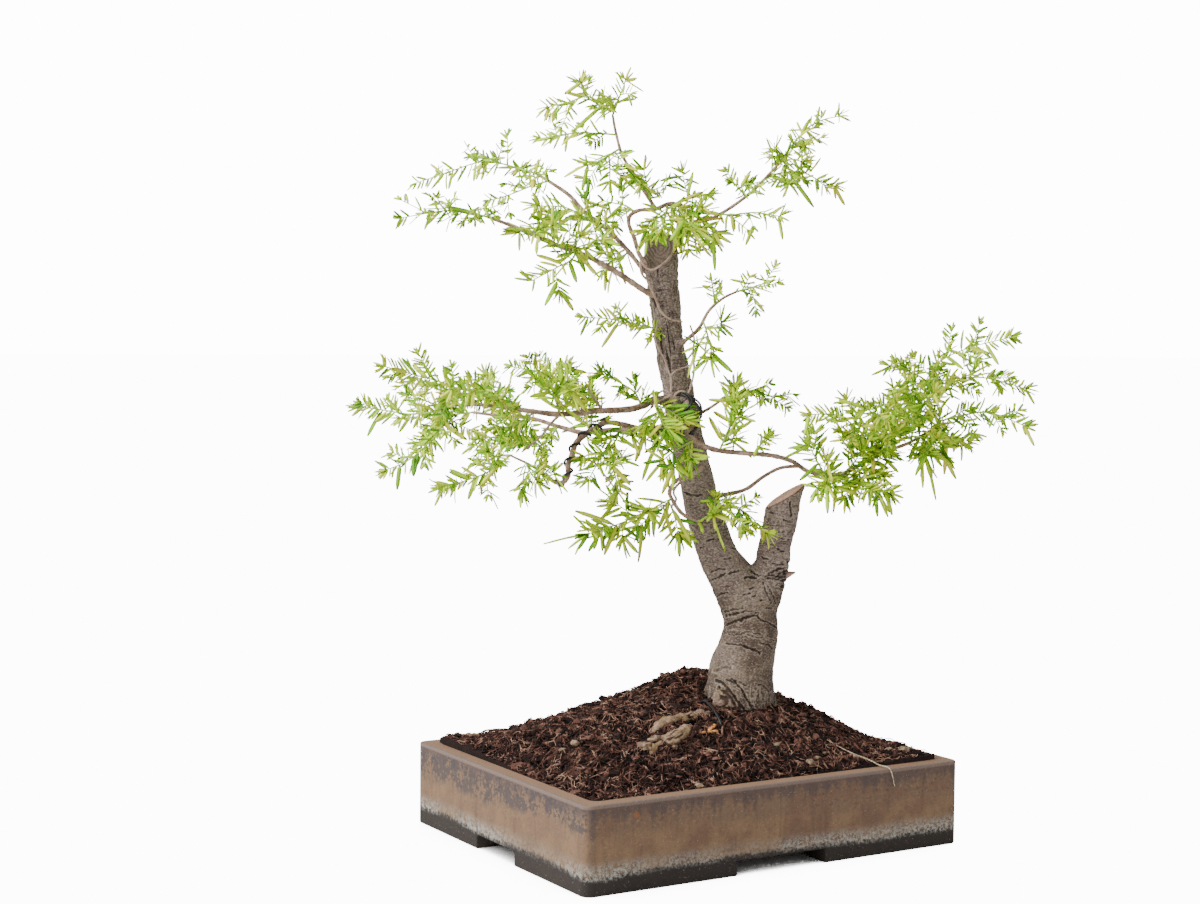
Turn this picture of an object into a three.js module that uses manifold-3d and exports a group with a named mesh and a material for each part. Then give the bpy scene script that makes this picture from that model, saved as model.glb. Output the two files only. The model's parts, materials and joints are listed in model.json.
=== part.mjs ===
// An eastern hemlock bonsai in a shallow rectangular training pot. Millimetres, +Z up.
// The pot stands square to X and Y. The tree has a frame of its own, turned against the pot:
// across is to the right as the tree is shown, depth is away from the front, up is up.
import * as THREE from "three";
import { mergeVertices } from "three/addons/utils/BufferGeometryUtils.js";
import Module from "manifold-3d";

// Pot
const POT_LENGTH = 380;
const POT_WIDTH = 302;
const POT_HEIGHT = 73;
const POT_CORNER = 8;
const WALL = 15;
const FLOOR = 10;
const FOOT_HEIGHT = 12;
const FOOT_BAR = 26;
const LONG_NOTCH = 90;
const SHORT_NOTCH = 67;
const DRAIN_RADIUS = 9;
const DRAIN_SPACING = 170;
const SCREEN_SIDE = 34;
const SCREEN_THICK = 1;
const SCREEN_SLOT = 9;
const SCREEN_PITCH = 13;
const SCREEN_ROWS = 2;

// Soil mound, in the pot's frame
const MOUND_PEAK = { x: 30, y: 50, z: 136 };
const SOIL_EDGE_FRONT = 66;
const SOIL_EDGE_BACK = 78;
const MOUND_POWER = 1.5;
const MOUND_ROUNDNESS = 2.6;
const CRUMB = 1.6;
const SOIL_COLUMNS = 12;
const SOIL_ROWS = 10;

// At its back left the mound falls straight, like a cone: how far left of the peak, and behind
// the tree's middle, this begins and is complete.
const CONE_POWER = 0.85;
const CONE_LEFT = { from: -20, to: 30 };
const CONE_BACK = { from: -45, to: 5 };

// Where the tree stands in the pot, how far it is turned, and the point it is shown from
const TREE_X = 36;
const TREE_Y = -12;
const TREE_TURN = THREE.MathUtils.degToRad(30.96);
const VIEW_ACROSS = -114;
const VIEW_BACK = 1871;
const VIEW_UP = 447;

// Fits and small sizes
const SEAT = 0.3;
const GROWN = 0.35;
const OVERRUN = 5;
const TWIG_BASE = 1.1;
const TWIG_TIP = 0.55;
const TWIG_SIDES = 3;
const BRANCH_SIDES = 5;
const ROOT_SIDES = 5;
const TRUNK_SIDES = 12;
const WIRE_RADIUS = 1;
const WIRE_SIDES = 4;
const WIRE_STEPS_A_TURN = 6;
const CLEAR = 0.35;
const CORNER_STEPS = 3;
const DRAIN_SIDES = 12;
const WELD = 1e-4;

// The trunk's foot swells into lobes between these heights, and its cuts are made with a block.
const FOOT_LOW = 95;
const FOOT_HIGH = 175;
const FOOT_LOBES = [
  { count: 3, depth: 0.09, turn: 0.6 },
  { count: 5, depth: 0.05, turn: 1.9 },
];
const CUT_BLOCK = 90;
const TRUNK_CUT = { point: [-62, 519, 6], facing: new THREE.Vector3(-0.12, -0.75, 0.65) };
const STUB_CUT = { point: [51, 302.5, 0], facing: new THREE.Vector3(-0.53, -0.08, 0.845) };

// Leaves
const LEAF_SPACING = 12.5;
const LEAF_WIDTH = 3.3;
const LEAF_RIDGE = 0.6;
const LEAF_KEEL = 0.4;
const LONG_LEAF = 17;
const STRAP_LEAF = 21;
const GOLDEN_TURN = 2.39996;
const TURN_STEP = 0.7;
const TRIES = 8;
const ROSETTE = 4;
const ROOT_SHARE = 0.3;
const OWN_SHARE = 0.75;
const LAST_SHARE = 0.985;
const LEAN = { base: 1.05, loss: 0.3, tipLeast: 0.45, tipSpread: 0.5 };
const LENGTH_SHARE = { least: 0.8, spread: 0.4, tip: 0.8 };
const WIDTH_SHARE = { least: 0.65, most: 1.2 };
const RING_AT = { leaf: [0.5], strap: [0.3, 0.75] };
const SEED = 1538;

const wasm = await Module();
wasm.setup();

// A manifold solid from a closed geometry, with shared vertices merged.
function solidOf(geometry) {
  const bare = geometry.clone();
  bare.deleteAttribute("normal");
  bare.deleteAttribute("uv");
  const merged = mergeVertices(bare, WELD);
  return new wasm.Manifold(
    new wasm.Mesh({
      numProp: 3,
      vertProperties: new Float32Array(merged.attributes.position.array),
      triVerts: new Uint32Array(merged.index.array),
    }),
  );
}

// A geometry from a manifold solid.
function geometryOf(solid) {
  const mesh = solid.getMesh();
  const geometry = new THREE.BufferGeometry();
  geometry.setAttribute("position", new THREE.BufferAttribute(mesh.vertProperties, 3));
  geometry.setIndex(new THREE.BufferAttribute(mesh.triVerts, 1));
  geometry.computeVertexNormals();
  return geometry;
}

function joined(solids) {
  return solids.reduce((sum, solid) => sum.add(solid));
}

// The largest body of a solid: scraps that a cut leaves loose are dropped.
function largestBody(solid) {
  const bodies = solid.decompose();
  return bodies.reduce((best, body) => (body.volume() > best.volume() ? body : best));
}

// Repeatable random numbers from 0 to 1.
function seeded(seed) {
  let state = seed >>> 0;
  return () => {
    state = (Math.imul(1664525, state) + 1013904223) >>> 0;
    return state / 4294967296;
  };
}

// A route point is across, up and depth as shown from the front. Depth carries it back along
// the line of sight, so that its place as shown stays the same.
function place([across, up, depth]) {
  const share = depth / VIEW_BACK;
  return new THREE.Vector3(
    across + (across - VIEW_ACROSS) * share,
    depth,
    up + (up - VIEW_UP) * share,
  );
}

// Stations along a limb: a centre and a radius, from points that hold across, up, depth, radius.
function stationsOf(points, grown = 0) {
  return points.map((p) => ({ centre: place(p), radius: p[3] + grown }));
}

// The direction and two cross directions at each station, carried along without twist.
function framesOf(stations) {
  let normal = new THREE.Vector3(0, -1, 0);
  return stations.map((station, i) => {
    const before = stations[Math.max(i - 1, 0)].centre;
    const after = stations[Math.min(i + 1, stations.length - 1)].centre;
    const along = after.clone().sub(before).normalize();
    if (Math.abs(normal.dot(along)) > 0.95) normal = new THREE.Vector3(1, 0, 0.3);
    normal = normal.clone().addScaledVector(along, -normal.dot(along)).normalize();
    return { along, normal, side: along.clone().cross(normal) };
  });
}

// Closed geometry through rings of equal length, with flat ends or with a point at each end.
function skin(rings, startPoint, endPoint) {
  const sides = rings[0].length;
  const corners = rings.flat();
  const faces = [];
  for (let i = 0; i + 1 < rings.length; i++) {
    for (let j = 0; j < sides; j++) {
      const next = (j + 1) % sides;
      const a = i * sides + j;
      const b = i * sides + next;
      faces.push(a, b, b + sides, a, b + sides, a + sides);
    }
  }
  const last = (rings.length - 1) * sides;
  if (startPoint) {
    corners.push(startPoint);
    for (let j = 0; j < sides; j++) faces.push(corners.length - 1, (j + 1) % sides, j);
  } else {
    for (let j = 1; j + 1 < sides; j++) faces.push(0, j + 1, j);
  }
  if (endPoint) {
    corners.push(endPoint);
    for (let j = 0; j < sides; j++) {
      faces.push(corners.length - 1, last + j, last + ((j + 1) % sides));
    }
  } else {
    for (let j = 1; j + 1 < sides; j++) faces.push(last, last + j, last + j + 1);
  }
  const geometry = new THREE.BufferGeometry().setFromPoints(corners);
  geometry.setIndex(faces);
  return geometry;
}

// A round limb through stations. The shape function varies the radius round a station.
function limb(stations, sides, shape = () => 1) {
  const frames = framesOf(stations);
  const rings = stations.map((station, i) =>
    Array.from({ length: sides }, (_, j) => {
      const angle = (j / sides) * 2 * Math.PI;
      const reach = station.radius * shape(angle, station.centre.z);
      return station.centre
        .clone()
        .addScaledVector(frames[i].normal, Math.cos(angle) * reach)
        .addScaledVector(frames[i].side, Math.sin(angle) * reach);
    }),
  );
  return solidOf(skin(rings));
}

// Pot: one fired body with a plain rim, four L-shaped feet flush with the walls and two drains.
function roundedBlock(length, width, corner, low, high) {
  const x = length / 2;
  const y = width / 2;
  const outline = new THREE.Shape();
  outline.absarc(x - corner, y - corner, corner, 0, Math.PI / 2);
  outline.absarc(corner - x, y - corner, corner, Math.PI / 2, Math.PI);
  outline.absarc(corner - x, corner - y, corner, Math.PI, 1.5 * Math.PI);
  outline.absarc(x - corner, corner - y, corner, 1.5 * Math.PI, 2 * Math.PI);
  const options = { depth: high - low, bevelEnabled: false, curveSegments: CORNER_STEPS };
  return solidOf(new THREE.ExtrudeGeometry(outline, options).translate(0, 0, low));
}

function block(length, width, low, high) {
  const box = new THREE.BoxGeometry(length, width, high - low);
  return solidOf(box.translate(0, 0, (low + high) / 2));
}

function potSolid() {
  const floorTop = FOOT_HEIGHT + FLOOR;
  const inner = [POT_LENGTH - 2 * WALL, POT_WIDTH - 2 * WALL];
  let pot = roundedBlock(POT_LENGTH, POT_WIDTH, POT_CORNER, 0, POT_HEIGHT);
  pot = pot.subtract(roundedBlock(...inner, POT_CORNER, floorTop, POT_HEIGHT + OVERRUN));
  const recess = [POT_LENGTH - 2 * FOOT_BAR, POT_WIDTH - 2 * FOOT_BAR];
  pot = pot.subtract(block(...recess, -OVERRUN, FOOT_HEIGHT));
  pot = pot.subtract(block(LONG_NOTCH, POT_WIDTH + OVERRUN, -OVERRUN, FOOT_HEIGHT));
  pot = pot.subtract(block(POT_LENGTH + OVERRUN, SHORT_NOTCH, -OVERRUN, FOOT_HEIGHT));
  for (const side of [-1, 1]) {
    const through = FLOOR + OVERRUN;
    const drain = new THREE.CylinderGeometry(DRAIN_RADIUS, DRAIN_RADIUS, through, DRAIN_SIDES);
    drain.rotateX(Math.PI / 2);
    drain.translate((side * DRAIN_SPACING) / 2, 0, FOOT_HEIGHT + FLOOR / 2);
    pot = pot.subtract(solidOf(drain));
  }
  return pot;
}

// A square plastic screen over a drain, with rows of square slots.
function screenSolid(side, grown = 0) {
  const width = SCREEN_SIDE + 2 * grown;
  const low = FOOT_HEIGHT + FLOOR + SEAT - grown;
  const high = low + SCREEN_THICK + 2 * grown;
  let screen = block(width, width, low, high);
  const first = (-(SCREEN_ROWS - 1) * SCREEN_PITCH) / 2;
  for (let i = 0; i < SCREEN_ROWS * SCREEN_ROWS && !grown; i++) {
    const x = first + (i % SCREEN_ROWS) * SCREEN_PITCH;
    const y = first + Math.floor(i / SCREEN_ROWS) * SCREEN_PITCH;
    const slot = block(SCREEN_SLOT, SCREEN_SLOT, low - OVERRUN, high + OVERRUN);
    screen = screen.subtract(slot.translate([x, y, 0]));
  }
  return screen.translate([(side * DRAIN_SPACING) / 2, 0, 0]);
}

// Height of the soil at a place in the pot: a mound round its peak, higher along the back.
function soilHeight(x, y) {
  const reachX = POT_LENGTH / 2 - WALL;
  const reachY = POT_WIDTH / 2 - WALL;
  const shareX = Math.abs(x - MOUND_PEAK.x) / (reachX - Math.sign(x - MOUND_PEAK.x) * MOUND_PEAK.x);
  const shareY = Math.abs(y - MOUND_PEAK.y) / (reachY - Math.sign(y - MOUND_PEAK.y) * MOUND_PEAK.y);
  const norm = shareX ** MOUND_ROUNDNESS + shareY ** MOUND_ROUNDNESS;
  const outward = Math.min(norm ** (1 / MOUND_ROUNDNESS), 1);
  const back = x * Math.sin(TREE_TURN) + y * Math.cos(TREE_TURN);
  const rise = THREE.MathUtils.smoothstep(back, -reachX, 0);
  const edge = THREE.MathUtils.lerp(SOIL_EDGE_FRONT, SOIL_EDGE_BACK, rise);
  const { smoothstep, lerp } = THREE.MathUtils;
  const behind = (x - TREE_X) * Math.sin(TREE_TURN) + (y - TREE_Y) * Math.cos(TREE_TURN);
  const left = smoothstep(MOUND_PEAK.x - x, CONE_LEFT.from, CONE_LEFT.to);
  const cone = left * smoothstep(behind, CONE_BACK.from, CONE_BACK.to);
  return edge + (MOUND_PEAK.z - edge) * (1 - outward ** lerp(MOUND_POWER, CONE_POWER, cone));
}

// The soil: a crumbly top over a block that fills the pot.
function soilSolid() {
  const random = seeded(SEED);
  const length = POT_LENGTH - 2 * (WALL + SEAT);
  const width = POT_WIDTH - 2 * (WALL + SEAT);
  const low = FOOT_HEIGHT + FLOOR + SEAT;
  const top = [];
  for (let i = 0; i <= SOIL_COLUMNS; i++) {
    for (let j = 0; j <= SOIL_ROWS; j++) {
      const x = (i / SOIL_COLUMNS - 0.5) * length;
      const y = (j / SOIL_ROWS - 0.5) * width;
      top.push(new THREE.Vector3(x, y, soilHeight(x, y) + (random() * 2 - 1) * CRUMB));
    }
  }
  const at = (i, j) => i * (SOIL_ROWS + 1) + j;
  const faces = [];
  for (let i = 0; i < SOIL_COLUMNS; i++) {
    for (let j = 0; j < SOIL_ROWS; j++) {
      faces.push(at(i, j), at(i + 1, j), at(i + 1, j + 1));
      faces.push(at(i, j), at(i + 1, j + 1), at(i, j + 1));
    }
  }
  const rim = [];
  for (let i = 0; i < SOIL_COLUMNS; i++) rim.push(at(i, 0));
  for (let j = 0; j < SOIL_ROWS; j++) rim.push(at(SOIL_COLUMNS, j));
  for (let i = SOIL_COLUMNS; i > 0; i--) rim.push(at(i, SOIL_ROWS));
  for (let j = SOIL_ROWS; j > 0; j--) rim.push(at(0, j));
  const corners = [...top];
  const base = corners.length;
  rim.forEach((k) => corners.push(new THREE.Vector3(top[k].x, top[k].y, low)));
  corners.push(new THREE.Vector3(0, 0, low));
  rim.forEach((k, n) => {
    const next = (n + 1) % rim.length;
    faces.push(k, base + n, base + next, k, base + next, rim[next]);
    faces.push(corners.length - 1, base + next, base + n);
  });
  const geometry = new THREE.BufferGeometry().setFromPoints(corners);
  geometry.setIndex(faces);
  const fill = roundedBlock(length, width, POT_CORNER, low - OVERRUN, MOUND_PEAK.z + 4 * OVERRUN);
  return solidOf(geometry).intersect(fill);
}

// Wood. Each point is across, up, depth and radius.
const TRUNK = [
  [14, 62, 0, 31],
  [12, 108, 0, 33],
  [13, 128, 0, 30.5],
  [15, 148, 0, 28.8],
  [20, 168, 0, 26],
  [22, 186, 0, 24.5],
  [18, 205, 0, 24.5],
  [5.5, 225, 0, 21.5],
  [-7, 246, 1, 17.8],
  [-16, 268, 2, 17],
  [-24, 297, 4, 16],
  [-31, 328, 6, 14.8],
  [-39, 360, 7, 14.4],
  [-46, 396, 8, 14],
  [-53, 430, 8, 12.8],
  [-57, 465, 7, 13.6],
  [-61, 497, 6, 14.6],
  [-64, 548, 6, 15],
];
const STUB = [
  [25, 190, 0, 19],
  [31, 215, 0, 20],
  [40, 240, 0, 15.8],
  [42, 256, 0, 14.8],
  [46.5, 276, 0, 14.6],
  [54.5, 322, 0, 14.6],
];
const BRANCHES = {
  lowerLeft: [
    [-60, 476, 4, 5],
    [-74, 483, -6, 3.6],
    [-99, 497, -12, 3],
    [-127, 512, -19, 2.6],
    [-153, 521, -27, 2.2],
    [-179, 532, -35, 1.9],
    [-199, 540, -41, 1.6],
    [-216, 546, -46, 1.3],
  ],
  upperLeft: [
    [-64, 490, 8, 4.5],
    [-80, 504, 16, 2.8],
    [-91, 517, 20, 2.4],
    [-109, 535, 27, 2.2],
    [-130, 551, 36, 2],
    [-143, 565, 43, 1.8],
    [-159, 576, 52, 1.6],
    [-174, 585, 59, 1.4],
  ],
  overTop: [
    [-66, 498, -2, 4],
    [-80, 512, -10, 2.8],
    [-86, 529, -8, 2.4],
    [-91, 542, -6, 2.2],
    [-89, 549, -4, 2.1],
    [-81, 553, -4, 2],
    [-68, 554, -5, 2],
    [-54, 559, -6, 1.9],
    [-44, 556, -8, 1.8],
    [-34, 550, -8, 1.8],
    [-24, 545, -6, 1.7],
    [-9, 551, -2, 1.6],
    [15, 568, 5, 1.5],
    [32, 585, 13, 1.4],
    [43, 598, 19, 1.2],
    [50, 608, 22, 1.1],
  ],
  leader: [
    [-67, 554, -5, 1.8],
    [-82, 577, -2, 1.6],
    [-97, 601, 2, 1.4],
    [-103, 621, 4, 1.3],
    [-106, 636, 5, 1.1],
  ],
  rightSmall: [
    [-50, 432, 0, 3],
    [-39, 439, -10, 1.8],
    [-28, 449, -14, 1.6],
    [-19, 465, -18, 1.4],
    [-7, 476, -23, 1.2],
    [5, 482, -29, 1.1],
  ],
  crossing: [
    [-74, 484, -6, 1.3],
    [-64, 474, -16, 1.1],
    [-52, 457, -15, 1],
    [-40, 442, -10, 1],
  ],
  mainLeft: [
    [-46, 384, 2, 4.5],
    [-65, 386, -10, 3.4],
    [-78, 380, -14, 3],
    [-89, 377, -18, 2.9],
    [-121, 375, -29, 2.7],
    [-149, 372, -40, 2.5],
    [-172, 374, -49, 2.3],
    [-202, 378, -56, 2],
    [-234, 381, -63, 1.6],
  ],
  frontCurl: [
    [-65, 386, -11, 1.5],
    [-60, 392, -15, 1.4],
    [-54, 392, -17, 1.4],
    [-47, 391, -17, 1.4],
    [-41, 394, -17, 1.3],
    [-35, 390, -17, 1.3],
  ],
  secondLeft: [
    [-42, 362, 10, 4],
    [-69, 360, 16, 2.8],
    [-92, 359, 21, 2.5],
    [-110, 358, 28, 2.4],
    [-130, 356, 34, 2.2],
    [-151, 361, 43, 2],
    [-175, 368, 49, 1.8],
    [-202, 370, 54, 1.5],
    [-228, 373, 59, 1.3],
  ],
  hanging: [
    [-42, 354, 0, 3.6],
    [-74, 358, -14, 2.6],
    [-92, 363, -22, 2.4],
    [-109, 365, -29, 2.4],
    [-119, 360, -36, 2.4],
    [-128, 354, -41, 2.4],
    [-135, 347, -46, 2.4],
    [-138, 337, -50, 2.3],
    [-140, 326, -55, 2.2],
    [-142, 316, -57, 2.1],
    [-147, 310, -60, 2],
    [-154, 310, -62, 1.8],
    [-160, 315, -64, 1.4],
    [-175, 326, -68, 1.1],
    [-194, 335, -73, 1],
  ],
  towardFront: [
    [-43, 378, 2, 7],
    [-41, 384, -11, 7],
    [-32, 376, -18, 5.4],
    [-31, 366, -20, 4.4],
    [-36, 357, -21, 3.4],
    [-29, 349, -22, 2.5],
    [-19, 344, -22, 2.4],
    [-8, 341, -22, 2.3],
    [14, 339, -21, 2.2],
    [39, 337, -20, 2.1],
    [57, 332, -17, 2],
    [72, 323, -12, 2],
    [99, 321, -7, 1.9],
    [123, 333, -3, 1.8],
    [143, 343, 0, 1.7],
    [159, 349, 3, 1.6],
    [178, 360, 7, 1.3],
  ],
  secondRight: [
    [-20, 299, 4, 3],
    [-2, 302, 8, 2],
    [16, 307, 12, 1.7],
    [31, 318, 14, 1.6],
    [46, 326, 5, 1.6],
    [64, 328, -15, 1.6],
  ],
  rightMid: [
    [-38, 370, 8, 2.5],
    [-22, 376, 12, 1.4],
    [-4, 388, 17, 1.1],
  ],
  sideCurl: [
    [-24, 326, 0, 2.6],
    [-28, 322, -14, 2.1],
    [-37, 318, -19, 1.9],
    [-46, 314, -19, 1.8],
    [-52, 304, -17, 1.8],
    [-49, 296, -17, 1.7],
    [-42, 286, -19, 1.7],
    [-34, 280, -20, 1.6],
    [-27, 277, -19, 1.4],
  ],
  brokenTwig: [
    [44, 229, 0, 4],
    [54, 231, 0, 3],
    [61, 233, 0, 0.8],
  ],
};
const ROOTS = {
  surface: [
    [0, 104, -18, 11],
    [-14, 103, -40, 8],
    [-36, 98, -55, 6],
    [-56, 94, -65, 5],
    [-74, 82, -72, 3],
  ],
  lower: [
    [-6, 98, -30, 9],
    [-22, 92, -58, 7],
    [-38, 87, -76, 6],
    [-56, 79, -91, 5],
    [-70, 68, -98, 3],
  ],
};

// The trunk swells into lobes where its roots leave it.
function footLobes(angle, height) {
  const foot = 1 - THREE.MathUtils.smoothstep(height, FOOT_LOW, FOOT_HIGH);
  const lobes = FOOT_LOBES.map(({ count, depth, turn }) => depth * Math.cos(count * angle + turn));
  return 1 + foot * lobes.reduce((sum, lobe) => sum + lobe);
}

// A wide block over a slanted cut, placed by a point of the cut and the way the cut faces.
function cutAbove({ point: [across, up, depth], facing }, grown) {
  const box = new THREE.BoxGeometry(CUT_BLOCK, CUT_BLOCK, CUT_BLOCK).translate(0, 0, CUT_BLOCK / 2);
  const turn = new THREE.Quaternion();
  turn.setFromUnitVectors(new THREE.Vector3(0, 0, 1), facing.clone().normalize());
  const at = place([across, up + grown, depth]);
  return solidOf(box.applyQuaternion(turn).translate(at.x, at.y, at.z));
}

function woodSolid(grown = 0) {
  const trunk = limb(stationsOf(TRUNK, grown), TRUNK_SIDES, footLobes);
  const stub = limb(stationsOf(STUB, grown), TRUNK_SIDES);
  const stems = [trunk.subtract(cutAbove(TRUNK_CUT, grown)), stub.subtract(cutAbove(STUB_CUT, grown))];
  const branches = Object.values(BRANCHES).map((b) => limb(stationsOf(b, grown), BRANCH_SIDES));
  const roots = Object.values(ROOTS).map((r) => limb(stationsOf(r, grown), ROOT_SIDES));
  return joined([...stems, ...branches, ...roots]);
}

// Training wire wound round a stretch of a branch, and the stations that it runs through.
function woundWire(points, first, last, turns) {
  const stations = stationsOf(points.slice(first, last + 1));
  const frames = framesOf(stations);
  const steps = Math.round(turns * WIRE_STEPS_A_TURN);
  return Array.from({ length: steps + 1 }, (_, k) => {
    const along = (k / steps) * (stations.length - 1);
    const i = Math.min(Math.floor(along), stations.length - 2);
    const share = along - i;
    const centre = stations[i].centre.clone().lerp(stations[i + 1].centre, share);
    const wood = THREE.MathUtils.lerp(stations[i].radius, stations[i + 1].radius, share);
    const normal = frames[i].normal.clone().lerp(frames[i + 1].normal, share).normalize();
    const side = frames[i].side.clone().lerp(frames[i + 1].side, share).normalize();
    const angle = (k / WIRE_STEPS_A_TURN) * 2 * Math.PI;
    const reach = (wood + WIRE_RADIUS + 2 * SEAT) / Math.cos(Math.PI / WIRE_STEPS_A_TURN);
    centre.addScaledVector(normal, Math.cos(angle) * reach);
    centre.addScaledVector(side, Math.sin(angle) * reach);
    return { centre, radius: WIRE_RADIUS };
  });
}

const WIRES = {
  wire_hanging: woundWire(BRANCHES.hanging, 3, 11, 8),
  wire_front: woundWire(BRANCHES.towardFront, 2, 5, 3),
};
const WIRE_END = [
  [-24, 104, -30, WIRE_RADIUS],
  [-22, 113, -33, WIRE_RADIUS],
  [-15, 109, -44, WIRE_RADIUS],
  [-9, 101, -56, WIRE_RADIUS],
  [-3, 92, -66, WIRE_RADIUS],
  [-1, 84, -70, WIRE_RADIUS],
];

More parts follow.
